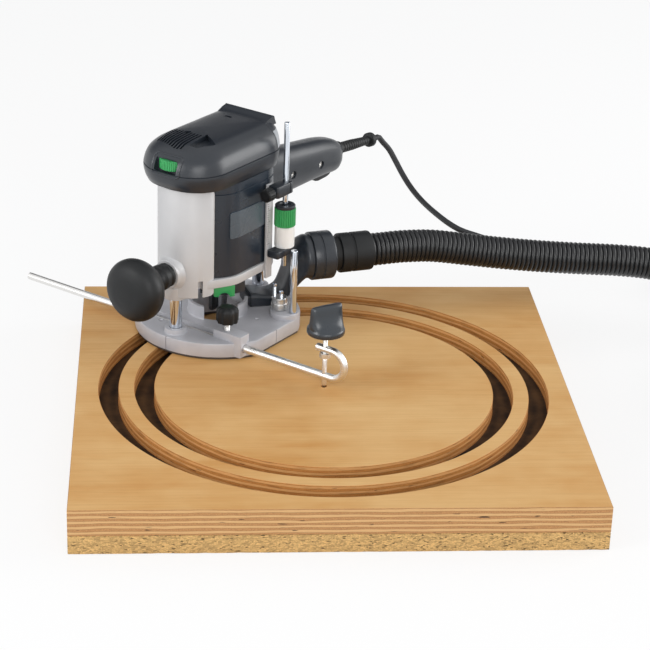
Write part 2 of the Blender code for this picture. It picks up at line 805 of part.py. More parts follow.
def make_pivot_knob(pivot, bottom, finish):
    """A round foot that runs up into a flat wing."""
    disc = PIVOT_KNOB_RADIUS
    wide, thick = PIVOT_WING_HALF_WIDTH, PIVOT_WING_HALF_THICKNESS
    height = PIVOT_KNOB_HEIGHT
    edge = PIVOT_KNOB_DISC / 4
    sections = (
        (disc - edge, disc - edge, 0.0),
        (disc, disc, edge),
        (disc, disc, PIVOT_KNOB_DISC - edge),
        (disc - edge, disc - edge, PIVOT_KNOB_DISC),
        *((wide * w, thick * t, height * h) for w, t, h in PIVOT_WING_SHARES),
    )
    rings = [
        [(half_x * math.cos(t), half_y * math.sin(t), bottom + z) for t in even_turns(FEW_SIDES + 4)]
        for half_x, half_y, z in sections
    ]
    knob = piece("pivot_knob", loft(rings), finish["rubber"], pivot)
    hole = rod(PIN_RADIUS + SEAT, bottom - OVERRUN, bottom + PIN_INTO_KNOB + SEAT)
    cut(knob, tool(hole, pivot))


def even_turns(count):
    return [2 * math.pi * i / count for i in range(count)]


# The router's base


def base_outline(inset=0.0):
    """A circle about the spindle with one flat edge."""
    radius = BASE_RADIUS - inset
    end = math.asin((BASE_RADIUS - BASE_FLAT_CUT - inset) / radius)
    return arc(0.0, 0.0, radius, -end, math.pi + end, MANY_SIDES * 3 // 4)


def make_base(router, port, finish):
    opening = COLLAR_RADIUS - COLLAR_WALL
    plate = prism(base_outline(SOLE_INSET), SEAT, SEAT + SOLE_THICKNESS)
    sole = piece("base_sole", plate, finish["phenolic"], router)
    cut(sole, tool(rod(opening, -OVERRUN, casting_bottom, SOME_SIDES), router))

    casting = piece(
        "base_casting", prism(base_outline(), casting_bottom, BASE_TOP), finish["casting"], router
    )
    inside = BASE_TOP - OVERRUN
    boss = box_outline(
        -ROD_OFFSET - CLAMP_BOSS_HALF_WIDTH,
        -ROD_OFFSET + CLAMP_BOSS_HALF_WIDTH,
        -CLAMP_BOSS_FRONT,
        -CLAMP_BOSS_BACK,
    )
    turret_boss_y = TURRET_Y - TURRET_BOSS_SHIFT
    join(
        casting,
        tool(rod(COLLAR_RADIUS, inside, COLLAR_TOP, SOME_SIDES), router),
        tool(rod(COLUMN_BOSS_RADIUS, inside, COLUMN_BOSS_TOP), router, (-COLUMN_X, 0.0, 0.0)),
        tool(rod(COLUMN_BOSS_RADIUS, inside, COLUMN_BOSS_TOP), router, (COLUMN_X, 0.0, 0.0)),
        tool(prism(boss, inside, CLAMP_BOSS_TOP), router),
        tool(
            rod(TURRET_BOSS_RADIUS, casting_bottom + SEAT, COLUMN_BOSS_TOP),
            router,
            (TURRET_X + SEAT, turret_boss_y, 0.0),
        ),
    )
    channel = box_outline(
        -ROD_OFFSET - CHANNEL_HALF_WIDTH,
        -ROD_OFFSET + CHANNEL_HALF_WIDTH,
        -CLAMP_BOSS_BACK,
        BASE_RADIUS + OVERRUN,
    )
    notch = box_outline(
        opening / 2, COLLAR_RADIUS + OVERRUN, -COLLAR_NOTCH_WIDTH / 2, COLLAR_NOTCH_WIDTH / 2
    )
    window = box_outline(
        opening / 2,
        COLLAR_RADIUS + SEAT,
        DUCT_SHIFT - COLLAR_WINDOW_WIDTH / 2,
        DUCT_SHIFT + COLLAR_WINDOW_WIDTH / 2,
    )
    column_floor = COLUMN_BOSS_TOP - COLUMN_SEAT_DEPTH
    seat_radius = COLUMN_RADIUS + SEAT
    bore = rod(ROD_RADIUS + RUN, -CLAMP_BOSS_BACK - OVERRUN, BASE_RADIUS + OVERRUN, ROD_SIDES)
    post_seat = rod(POST_RADIUS + SEAT, COLUMN_BOSS_TOP - OVERRUN, COLUMN_BOSS_TOP + OVERRUN)
    screw_hole = rod(CLAMP_SCREW_RADIUS + RUN, ROD_HEIGHT, CLAMP_BOSS_TOP + OVERRUN)
    cut(
        casting,
        tool(rod(opening, 0.0, COLLAR_TOP + OVERRUN, SOME_SIDES), router),
        tool(prism(channel, CHANNEL_FLOOR, CLAMP_BOSS_TOP), router),
        tool(prism(notch, BASE_TOP, COLLAR_TOP + OVERRUN), router, turn=(0.0, 0.0, LOCK_DIRECTION)),
        tool(prism(window, BASE_TOP + SEAT, DUCT_LOW_TOP), port),
        tool(rod(seat_radius, column_floor, COLUMN_BOSS_TOP + OVERRUN), router, (-COLUMN_X, 0.0, 0.0)),
        tool(rod(seat_radius, column_floor, COLUMN_BOSS_TOP + OVERRUN), router, (COLUMN_X, 0.0, 0.0)),
        tool(bore, router, (-ROD_OFFSET, 0.0, ROD_HEIGHT), (math.pi / 2, 0.0, 0.0)),
        tool(screw_hole, router, (-ROD_OFFSET, clamp_screw_y(), 0.0)),
        tool(post_seat, router, (POST_X, POST_Y, 0.0)),
    )
    low = column_floor + SEAT
    short_top = under_handle(COLUMN_RADIUS) - PLUNGE_DOWN
    for side, name, top in ((-1, "left_column", column_top), (1, "right_column", short_top)):
        column = rod(COLUMN_RADIUS, low, top)
        piece(name, column, finish["chrome"], router, (side * COLUMN_X, 0.0, 0.0))
    post = rod(POST_RADIUS, COLUMN_BOSS_TOP - OVERRUN + SEAT, POST_TOP)
    piece("stop_post", post, finish["chrome"], router, (POST_X, POST_Y, 0.0))
    make_spring(router, finish)


def clamp_screw_y():
    return -(CLAMP_BOSS_FRONT + CLAMP_BOSS_BACK) / 2


def make_spring(router, finish):
    """The return spring over the left column, inside the sleeve."""
    low = column_top + SEAT + SPRING_WIRE_RADIUS
    high = CAP_BOTTOM - SEAT - SPRING_WIRE_RADIUS
    radius = COLUMN_RADIUS - SPRING_WIRE_RADIUS
    steps = SPRING_TURNS * 8
    line = [
        Vector(
            (
                radius * math.cos(2 * math.pi * SPRING_TURNS * i / steps),
                radius * math.sin(2 * math.pi * SPRING_TURNS * i / steps),
                low + (high - low) * i / steps,
            )
        )
        for i in range(steps + 1)
    ]
    spring = tube("plunge_spring", line, SPRING_WIRE_RADIUS, finish["steel"], 0)
    spring.parent = router
    spring.location = (-COLUMN_X, 0.0, 0.0)


def make_rod_clamp(router, finish):
    axis = frame("rod_clamp_axis", (-ROD_OFFSET, clamp_screw_y(), 0.0), parent=router)
    knob_bottom = CLAMP_BOSS_TOP + CLAMP_KNOB_LIFT
    screw_top = knob_bottom + CLAMP_KNOB_HEIGHT / 2
    screw = rod(CLAMP_SCREW_RADIUS, ROD_HEIGHT + ROD_RADIUS + SEAT, screw_top)
    piece("rod_clamp_screw", screw, finish["steel"], axis)
    edge = CLAMP_KNOB_HEIGHT / 8
    lobes = toothed(CLAMP_KNOB_RADIUS, CLAMP_KNOB_LOBE_DEPTH, CLAMP_KNOB_LOBES * 2)
    small = toothed(CLAMP_KNOB_RADIUS - edge, CLAMP_KNOB_LOBE_DEPTH, CLAMP_KNOB_LOBES * 2)
    top = knob_bottom + CLAMP_KNOB_HEIGHT
    rings = [
        lifted(small, knob_bottom),
        lifted(lobes, knob_bottom + edge),
        lifted(lobes, top - edge),
        lifted(small, top),
    ]
    knob = piece("rod_clamp_knob", loft(rings), finish["rubber"], axis)
    cut(knob, tool(rod(CLAMP_SCREW_RADIUS + SEAT, knob_bottom - OVERRUN, screw_top + SEAT), axis))


def make_turret(router, finish):
    """The revolving stop under the depth rod. Its third station is the bare top."""
    axis = frame("turret_axis", (TURRET_X, TURRET_Y, 0.0), parent=router)
    low = COLUMN_BOSS_TOP + SEAT
    turret = piece("stop_turret", rod(TURRET_RADIUS, low, turret_top), finish["casting"], axis)
    to_rod = math.atan2(DEPTH_ROD_Y - TURRET_Y, DEPTH_ROD_X - TURRET_X)
    for i, (name, height) in enumerate(
        (("long_stop_screw", LONG_SCREW_HEIGHT), ("short_stop_screw", SHORT_SCREW_HEIGHT))
    ):
        turn = to_rod + (i + 1) * 2 * math.pi / 3
        place = (TURRET_SCREW_CIRCLE * math.cos(turn), TURRET_SCREW_CIRCLE * math.sin(turn), 0.0)
        root = turret_top - TURRET_HEIGHT / 2
        neck = TURRET_SCREW_RADIUS * TURRET_SCREW_NECK_SHARE
        head = turret_top + height - TURRET_SCREW_HEAD
        profile = (
            (0.0, root + SEAT),
            (neck, root + SEAT),
            (neck, head),
            (TURRET_SCREW_RADIUS, head),
            (TURRET_SCREW_RADIUS, turret_top + height),
            (0.0, turret_top + height),
        )
        piece(name, turned(profile, ROD_SIDES), finish["chrome"], axis, place)
        cut(turret, tool(rod(neck + SEAT, root, turret_top + OVERRUN, ROD_SIDES), axis, place))


# The dust port


def duct_ring(place, low, high, half_width, corner, shift):
    """A rounded rectangle across the duct, or a circle when its corner is its half width."""
    middle = (low + high) / 2
    tall = (high - low) / 2
    return [
        (place, shift + y, middle + x)
        for x, y in rounded_box(-tall, tall, half_width, corner)
    ]


def duct_rings(wall, reach):
    low = BASE_TOP + SEAT + wall
    side = DUCT_HALF_WIDTH - wall
    corner = DUCT_CORNER - wall
    high = DUCT_LOW_TOP - wall
    port = PORT_RADIUS - wall
    bottom, top = PORT_HEIGHT - port, PORT_HEIGHT + port
    rise = (low + bottom) / 2
    return [
        duct_ring(DUCT_START - reach, low, high, side, corner, DUCT_SHIFT),
        duct_ring(DUCT_LOW_END, low, high, side, corner, DUCT_SHIFT),
        duct_ring(
            DUCT_RISE_END, rise, top - port / 2, side + wall * 2, port / 2, DUCT_SHIFT * DUCT_RISE_SHIFT_SHARE
        ),
        duct_ring(DUCT_ROUND_START, bottom, top, port, port, 0.0),
        duct_ring(DUCT_END + reach, bottom, top, port, port, 0.0),
    ]


def make_dust_port(port, finish):
    duct = piece("dust_duct", loft(duct_rings(0.0, 0.0)), finish["abs"], port)
    cut(duct, tool(loft(duct_rings(DUCT_WALL, OVERRUN)), port))
    along = (0.0, math.pi / 2, 0.0)
    place = (0.0, 0.0, PORT_HEIGHT)
    bore = HOSE_BORE_RADIUS
    end = cuff_start + PORT_COLLAR_LENGTH
    edge = (PORT_COLLAR_RADIUS - PORT_RADIUS) / 2
    profile = (
        (PORT_RADIUS, cuff_start),
        (PORT_COLLAR_RADIUS, cuff_start + edge),
        (PORT_COLLAR_RADIUS, end - edge),
        (PORT_COLLAR_RADIUS - edge, end),
        (bore, end),
        (bore, end - edge),
        (PORT_RADIUS - DUCT_WALL, cuff_start),
    )
    piece("port_collar", turned(profile, SOME_SIDES, hollow=True), finish["abs"], port, place, along)
    start = end + SEAT
    neck = start + CUFF_NECK_LENGTH
    profile = (
        (CUFF_NECK_RADIUS, start),
        (CUFF_NECK_RADIUS, neck),
        (CUFF_RADIUS, neck + edge),
        (CUFF_RADIUS, cuff_end - edge),
        (CUFF_RADIUS - edge, cuff_end),
        (bore, cuff_end),
        (bore, start),
    )
    piece("hose_cuff", turned(profile, SOME_SIDES, hollow=True), finish["rubber"], port, place, along)


# The suction hose


def in_world(x, y, z):
    """A place on the router as a place on the whole rig at rest."""
    across, along = ROD_OFFSET + x, rod_reach + y
    c, s = math.cos(SWING_AT_REST), math.sin(SWING_AT_REST)
    return Vector((c * across - s * along, s * across + c * along, board_top + z))


def port_point(distance):
    return in_world(distance * math.cos(PORT_TURN), distance * math.sin(PORT_TURN), PORT_HEIGHT)


def boot_point(distance):
    """A place on the cord boot's axis, that far past its root."""
    root = handle_stations[-1] + SEAT
    slope = BOOT_SLOPE
    return in_world(root + distance * math.cos(slope), 0.0, BOOT_HEIGHT + distance * math.sin(slope))


def hose_line():
    leave = cuff_end + SEAT
    start = [port_point(leave + HOSE_STRAIGHT_END * share) for share in (0, 1 / 2, 1)]
    end = run_up(hose_coil_line(), HOSE_STRAIGHT_END)
    return smooth((*start, *HOSE_ROUTE, *end), HOSE_RADIUS)


def hose_coil_line():
    line = coil(
        HOSE_COIL_X,
        HOSE_COIL_Y,
        HOSE_RADIUS,
        HOSE_COIL_OUTER_RADIUS,
        HOSE_COIL_PITCH,
        HOSE_COIL_TURNS,
        HOSE_COIL_LAYERS,
        HOSE_COIL_POINTS,
        math.pi / 2,
        -1,
    )
    lift = HOSE_END_RADIUS - HOSE_RADIUS + SEAT
    last = HOSE_COIL_POINTS // 4
    for i in range(last):
        share = (i + 1) / last
        eased = lift * share * share * (3 - 2 * share)
        point = line[len(line) - last + i]
        outward = Vector((point.x - HOSE_COIL_X, point.y - HOSE_COIL_Y, 0.0)).normalized()
        point += outward * eased + Vector((0.0, 0.0, eased))
    return [lead_in(line, HOSE_RADIUS), *line]


def lead_in(line, radius):
    """A point one diameter before a coil's start, where its circle runs along X."""
    return line[0] + Vector((-2 * radius, 0.0, 0.0))


def run_up(line, length):
    """Points of a straight run that ends where a line starts."""
    along = (line[1] - line[0]).normalized()
    return [line[0] - along * (length * share) for share in (1, 1 / 2, 0)]


def trimmed(line, start, end):
    """The line without a short bit at each end, so that neighbours stay a gap apart."""
    first = line[0] + (line[1] - line[0]).normalized() * start
    last = line[-1] + (line[-2] - line[-1]).normalized() * end
    return [first, *line[1:-1], last]


def make_hose(finish):
    path = hose_line()
    total = line_length(path)
    ribbed = even(path, (total - 2 * HOSE_STRAIGHT_END) / (2 * HOSE_RIBS))
    inner = [p for p in ribbed if (p - path[0]).length > HOSE_STRAIGHT_END]
    inner = [p for p in inner if (p - path[-1]).length > HOSE_STRAIGHT_END]
    line = trimmed([path[0], *inner, path[-1]], 0.0, SEAT)
    shares = [1.0] + [1.0 if i % 2 else HOSE_VALLEY_SHARE for i in range(len(inner))] + [1.0]
    outside = tube("suction_hose", line, HOSE_RADIUS, finish["hose"], 2, shares)
    hose = as_mesh("suction_hose", outside, finish["hose"])
    reach = (path[1] - path[0]).normalized() * OVERRUN
    past = (path[-1] - path[-2]).normalized() * OVERRUN
    core = even([path[0] - reach, *path[1:-1], path[-1] + past], HOSE_RADIUS * HOSE_BORE_SPACING_SHARE)
    bore = as_mesh("tool", tube("bore", core, HOSE_BORE_RADIUS, finish["hose"], 2), None)
    bore.hide_render = True
    bore.display_type = "WIRE"
    cut(hose, bore)
    turns = trimmed(hose_coil_line(), SEAT, 0.0)
    tube("suction_hose_coil", turns, HOSE_RADIUS, finish["hose"], 2)
    gap = least_gap(turns, HOSE_RADIUS, GAP_SKIP)
    print("hose: free and coil", round(total, 4), round(line_length(turns), 4), "least gap", round(gap, 5))
    make_hose_end(turns, finish)


def lengthwise(place, towards):
    """A frame's place and turn with its Z axis along a direction."""
    return tuple(place), towards.to_track_quat("Z", "Y").to_euler()


def make_hose_end(turns, finish):
    towards = turns[-1] - turns[-2]
    place, turn = lengthwise(turns[-1], towards)
    edge = HOSE_END_RADIUS / 12
    narrow = HOSE_END_RADIUS - edge
    profile = (
        (narrow, SEAT),
        (HOSE_END_RADIUS, SEAT + edge),
        (HOSE_END_RADIUS, HOSE_END_LENGTH / 3),
        (narrow, HOSE_END_LENGTH / 3 + edge),
        (narrow - edge, HOSE_END_LENGTH),
        (HOSE_BORE_RADIUS, HOSE_END_LENGTH),
        (HOSE_BORE_RADIUS, SEAT),
    )
    piece("hose_end_cuff", turned(profile, SOME_SIDES, hollow=True), finish["rubber"], None, place, turn)


# The mains cord


def make_cord(finish):
    straight = CORD_POINT_DIAMETERS * 2 * CORD_RADIUS
    start = [boot_point(BOOT_LENGTH + straight * share) for share in (0, 1 / 2, 1)]
    turns = cord_coil_line()
    path = smooth((*start, *CORD_ROUTE, *run_up(turns, straight)), straight)
    line = trimmed(path, SEAT, SEAT)
    tube("mains_cord", line, CORD_RADIUS, finish["cord"], 2)
    tube("mains_cord_coil", turns, CORD_RADIUS, finish["cord"], 1)
    gap = least_gap(turns, CORD_RADIUS, GAP_SKIP)
    lengths = round(line_length(line), 4), round(line_length(turns), 4)
    print("cord: free and coil", *lengths, "least gap", round(gap, 5))
    make_plug(turns, finish)


def cord_coil_line():
    line = coil(
        CORD_COIL_X,
        CORD_COIL_Y,
        CORD_RADIUS,
        CORD_COIL_OUTER_RADIUS,
        CORD_COIL_PITCH,
        CORD_COIL_TURNS,
        CORD_COIL_LAYERS,
        CORD_COIL_POINTS,
        -math.pi / 2,
        1,
    )
    heading = (line[-1] - line[-2]).normalized()
    end = line[-1]
    drop = Vector((0.0, 0.0, PLUG_RADIUS + SEAT - end.z))
    shares = [(i + 1) / PLUG_TAIL_POINTS for i in range(PLUG_TAIL_POINTS)]
    tail = [
        end + heading * (PLUG_TAIL_LENGTH * share) + drop * (share * share * (3 - 2 * share))
        for share in shares
    ]
    return [lead_in(line, CORD_RADIUS), *line, *tail]


def make_plug(turns, finish):
    """A two-pin plug that lies beside the coil."""
    towards = turns[-1] - turns[-2]
    towards.z = 0.0
    place, turn = lengthwise(turns[-1], towards)
    holder = frame("plug", place, turn)
    body = PLUG_NECK_LENGTH + PLUG_BODY_LENGTH
    edge = PLUG_RADIUS / 10
    profile = (
        (0.0, SEAT),
        (CORD_RADIUS * 1.5, SEAT),
        (CORD_RADIUS * 2, PLUG_NECK_LENGTH / 2),
        (PLUG_RADIUS - edge, PLUG_NECK_LENGTH),
        (PLUG_RADIUS, PLUG_NECK_LENGTH + edge),
        (PLUG_RADIUS, body - edge),
        (PLUG_RADIUS - edge, body),
        (0.0, body),
    )
    plug = piece("mains_plug", turned(profile, FEW_SIDES), finish["rubber"], holder)
    for side in (-1, 1):
        pin = rod(PLUG_PIN_RADIUS, body - OVERRUN, body + PLUG_PIN_LENGTH, ROD_SIDES)
        join(plug, tool(pin, holder, (0.0, side * PLUG_PIN_SPACING / 2, 0.0)))


# The motor unit


def housing_outline(grow=0.0):
    x, y, radius = HOUSING_CORNER_X, HOUSING_CORNER_Y, HOUSING_CORNER_RADIUS + grow
    return round_circles(((-x, -y, radius), (x, -y, radius), (x, y, radius), (-x, y, radius)))


def make_bracket(motor, finish):
    """The silver shell with both sleeves, the flange and the boss for the ball knob."""
    inner = SHELL_RADIUS - SHELL_WALL
    left = math.pi
    wall = arc(SHELL_X, 0.0, SHELL_RADIUS, left - SHELL_SPREAD, left + SHELL_SPREAD, SOME_SIDES // 2)
    wall += arc(SHELL_X, 0.0, inner, left + SHELL_SPREAD, left - SHELL_SPREAD, SOME_SIDES // 2)
    bracket = piece("motor_bracket", prism(wall, SHELL_BOTTOM, SHELL_TOP), finish["silver"], motor)
    x, y, radius = HOUSING_CORNER_X, HOUSING_CORNER_Y, HOUSING_CORNER_RADIUS + FLANGE_OVERHANG
    flange = round_circles(
        (
            (SHELL_X, 0.0, SHELL_RADIUS - SEAT),
            (-x, -y, radius),
            (x, -y, radius),
            (x, y, radius),
            (-x, y, radius),
            (COLUMN_X, 0.0, SLEEVE_FOOT_RADIUS),
        )
    )
    boss_back = SHELL_X - SHELL_RADIUS + SHELL_WALL
    boss_front = SHELL_X - SHELL_RADIUS - KNOB_BOSS_LENGTH
    along = (0.0, math.pi / 2, 0.0)
    left_place, right_place = (-COLUMN_X, 0.0, 0.0), (COLUMN_X, 0.0, 0.0)
    sleeve_top = SHELL_TOP - SEAT
    join(
        bracket,
        tool(prism(flange, FLANGE_BOTTOM, flange_top), motor),
        tool(rod(SLEEVE_RADIUS, FLANGE_BOTTOM + SEAT, sleeve_top), motor, left_place),
        tool(rod(SLEEVE_RADIUS, FLANGE_BOTTOM + SEAT, under_handle(SLEEVE_RADIUS)), motor, right_place),
        tool(rod(SLEEVE_FOOT_RADIUS, sleeve_bottom, FLANGE_BOTTOM + OVERRUN), motor, left_place),
        tool(rod(SLEEVE_FOOT_RADIUS, sleeve_bottom, FLANGE_BOTTOM + OVERRUN), motor, right_place),
        tool(
            rod(KNOB_BOSS_RADIUS, boss_front, boss_back, SOME_SIDES),
            motor,
            (0.0, 0.0, KNOB_BOSS_HEIGHT),
            along,
        ),
    )
    screw_end = -COLUMN_X - COLUMN_RADIUS
    cut(
        bracket,
        tool(rod(column_hole_radius, sleeve_bottom - OVERRUN, SHELL_TOP + OVERRUN), motor, left_place),
        tool(rod(column_hole_radius, sleeve_bottom - OVERRUN, SHELL_TOP + OVERRUN), motor, right_place),
        tool(
            rod(LOCK_SCREW_RADIUS + RUN, boss_front - OVERRUN, screw_end + COLUMN_RADIUS),
            motor,
            (0.0, 0.0, KNOB_BOSS_HEIGHT),
            along,
        ),
        tool(rod(BEARING_RADIUS + SEAT, FLANGE_BOTTOM - OVERRUN, flange_top + OVERRUN, SOME_SIDES), motor),
    )
    make_ball_knob(motor, boss_front, screw_end, finish)


def make_ball_knob(motor, boss_front, screw_end, finish):
    """The mushroom grip, whose screw clamps the left column."""
    axis = frame(
        "ball_knob_axis", (0.0, 0.0, KNOB_BOSS_HEIGHT), (0.0, -math.pi / 2, 0.0), motor
    )
    start = -boss_front + SEAT
    tip = -screw_end + SEAT
    length = BALL_KNOB_LENGTH
    profile = [(0.0, tip), (LOCK_SCREW_RADIUS, tip), (LOCK_SCREW_RADIUS, start)]
    profile += [(BALL_KNOB_NECK_RADIUS * r, start + length * z) for r, z in BALL_KNOB_NECK_SHARES]
    profile += [(BALL_KNOB_RADIUS * r, start + length * z) for r, z in BALL_KNOB_HEAD_SHARES]
    profile.append((0.0, start + length))
    piece("ball_knob", turned(profile, SOME_SIDES), finish["rubber"], axis)


def make_housing(motor, finish):
    housing = piece(
        "motor_housing", prism(housing_outline(), housing_bottom, HOUSING_TOP), finish["abs"], motor
    )
    bore = rod(MOTOR_BORE_RADIUS, housing_bottom - OVERRUN, HOUSING_TOP + OVERRUN, SOME_SIDES)
    cut(housing, tool(bore, motor))
    stator_outer = MOTOR_BORE_RADIUS - SEAT
    stator = ring(
        stator_outer, stator_outer - STATOR_WALL, STATOR_BOTTOM, STATOR_BOTTOM + STATOR_LENGTH
    )
    piece("field_stator", stator, finish["steel"], motor)
    plate_top = HOUSING_TOP - SEAT
    plate_bottom = plate_top - BEARING_PLATE_THICKNESS
    plate = ring(stator_outer, BEARING_RADIUS + SEAT, plate_bottom, plate_top)
    piece("bearing_plate", plate, finish["casting"], motor)
    bore_radius = SHAFT_RADIUS + SEAT
    lower = ring(BEARING_RADIUS, bore_radius, flange_top - BEARING_WIDTH, flange_top, FEW_SIDES)
    piece("lower_bearing", lower, finish["steel"], motor)
    upper = ring(BEARING_RADIUS, bore_radius, plate_top - BEARING_WIDTH, plate_top, FEW_SIDES)
    piece("upper_bearing", upper, finish["steel"], motor)


def make_spindle(motor, finish):
    spindle = frame("spindle_axis", parent=motor)
    nose = SHAFT_NOSE_RADIUS
    nose_top = flange_top - BEARING_WIDTH - SEAT
    shaft = (
        (0.0, SHAFT_NOSE_BOTTOM),
        (nose, SHAFT_NOSE_BOTTOM),
        (nose, nose_top),
        (SHAFT_RADIUS, nose_top),
        (SHAFT_RADIUS, SHAFT_TOP),
        (0.0, SHAFT_TOP),
    )
    piece("spindle_shaft", turned(shaft, FEW_SIDES), finish["steel"], spindle)
    bore = SHAFT_RADIUS + SEAT
    core = ring(ARMATURE_RADIUS, bore, ARMATURE_BOTTOM, ARMATURE_BOTTOM + ARMATURE_LENGTH, FEW_SIDES)
    piece("armature", core, finish["copper"], spindle)
    blades = toothed(FAN_RADIUS, FAN_BLADE_DEPTH, FAN_BLADES)
    fan_top = FAN_BOTTOM + FAN_THICKNESS
    fan = piece("cooling_fan", prism(blades, FAN_BOTTOM, fan_top), finish["abs"], spindle)
    cut(fan, tool(rod(bore, FAN_BOTTOM - OVERRUN, fan_top + OVERRUN), spindle))
    nut_top = NUT_BOTTOM + NUT_HEIGHT
    hex_nut("collet_nut", NUT_RADIUS, NUT_BORE_RADIUS, NUT_BOTTOM, nut_top, finish["steel"], spindle)
    collet_top = SHAFT_NOSE_BOTTOM - SEAT
    shank = BIT_SHANK_RADIUS
    collet = ring(
        NUT_BORE_RADIUS - SEAT, shank + SEAT, collet_top - COLLET_LENGTH, collet_top, FEW_SIDES
    )
    piece("collet", collet, finish["steel"], spindle)
    cutting_top = bit_tip + BIT_CUTTING_LENGTH
    bit = (
        (0.0, bit_tip),
        (bit_radius, bit_tip),
        (bit_radius, cutting_top),
        (shank, cutting_top + bit_radius - shank),
        (shank, collet_top - SEAT),
        (0.0, collet_top - SEAT),
    )
    cutter = piece("router_bit", turned(bit, FEW_SIDES), finish["carbide"], spindle)
    flute = box_outline(shank / 2, bit_radius * 2, 0.0, BIT_FLUTE_WIDTH)
    for turn in (0.0, math.pi):
        gullet = prism(flute, bit_tip - OVERRUN, cutting_top - SEAT)
        cut(cutter, tool(gullet, spindle, turn=(0.0, 0.0, turn)))


# The cap, the rear cover and the dial


def cap_rings():
    return [
        lifted(rounded_box(left, right, half, corner, right_share=CAP_END_CORNER_SHARE), level)
        for level, left, right, half, corner in zip(
            cap_levels, cap_left, cap_right, cap_half_widths, cap_corners
        )
    ]


def slab(low_x, high_x):
    """A block that takes away everything of the cap between two places."""
    reach = max(cap_half_widths) + OVERRUN
    outline = box_outline(low_x, high_x, -reach, reach)
    return prism(outline, CAP_BOTTOM - OVERRUN, cap_levels[-1] + REAR_COVER_RISE + OVERRUN)


def make_cap(motor, finish):
    far = max(cap_right) + OVERRUN
    near = min(cap_left) - OVERRUN
    cap = piece("top_cap", loft(cap_rings()), finish["abs"], motor)
    cavity_right = REAR_COVER_START - CAP_WALL
    cavity = rounded_box(
        cap_left[0] + CAP_WALL, cavity_right, cap_half_widths[-1] - CAP_WALL, cap_corners[-1] / 2
    )
    cut(
        cap,
        tool(slab(REAR_COVER_START, far), motor),
        tool(prism(cavity, CAP_BOTTOM - OVERRUN, CAP_CAVITY_TOP), motor),
    )
    pocket_floor = min(cap_left) + DIAL_POCKET_DEPTH
    half = DIAL_WINDOW_WIDTH / 2
    window = box_outline(near, pocket_floor, -half, half)
    low = DIAL_HEIGHT - DIAL_WINDOW_HEIGHT / 2
    well_radius = DIAL_RADIUS + RUN
    well_low = DIAL_HEIGHT - DIAL_THICKNESS / 2 - SEAT
    cut(
        cap,
        tool(prism(window, low, low + DIAL_WINDOW_HEIGHT), motor),
        tool(rod(well_radius, well_low, well_low + DIAL_THICKNESS + 2 * SEAT), motor, (DIAL_X, 0.0, 0.0)),
    )
    dial = prism(
        toothed(DIAL_RADIUS, DIAL_TOOTH_DEPTH, DIAL_TEETH), -DIAL_THICKNESS / 2, DIAL_THICKNESS / 2
    )
    piece("speed_dial", dial, finish["green"], motor, (DIAL_X, 0.0, DIAL_HEIGHT))

    rear = piece("rear_cover", loft(cap_rings()), finish["abs"], motor)
    ridge_low = cap_levels[-2]
    ridge_half = cap_half_widths[-1]
    start = REAR_COVER_START + SEAT
    top = cap_levels[-1]
    side = [
        (start, ridge_low),
        (start, top),
        (REAR_COVER_PEAK, top + REAR_COVER_RISE),
        (cap_right[-1], top),
        (cap_right[-2], ridge_low),
    ]
    ridge = loft([[(x, y, z) for x, z in side] for y in (-ridge_half, ridge_half)])
    join(rear, tool(ridge, motor))
    hollow = box_outline(
        REAR_COVER_START - OVERRUN,
        cap_right[-1] - CAP_WALL,
        CAP_WALL - ridge_half,
        ridge_half - CAP_WALL,
    )
    cut(
        rear,
        tool(slab(near, start), motor),
        tool(prism(hollow, CAP_BOTTOM - OVERRUN, CAP_CAVITY_TOP), motor),
    )


# The handle


def handle_rings(share, start, end):
    """Upright ovals at the handle's stations, scaled about their middles."""
    rings = []
    stations = list(zip(handle_stations, handle_tops, handle_bottoms, handle_half_widths))
    for i, (x, top, bottom, half) in enumerate(stations):
        middle, tall = (top + bottom) / 2, (top - bottom) / 2
        place = x + (start if i == 0 else 0.0) + (end if i == len(stations) - 1 else 0.0)
        ring_points = []
        for t in even_turns(HANDLE_SIDES):
            c, s = math.cos(t), math.sin(t)
            squared = (abs(c) ** 3 + abs(s) ** 3) ** (-1 / 3)
            ring_points.append((place, half * share * c * squared, middle + tall * share * s * squared))
        rings.append(ring_points)
    return rings


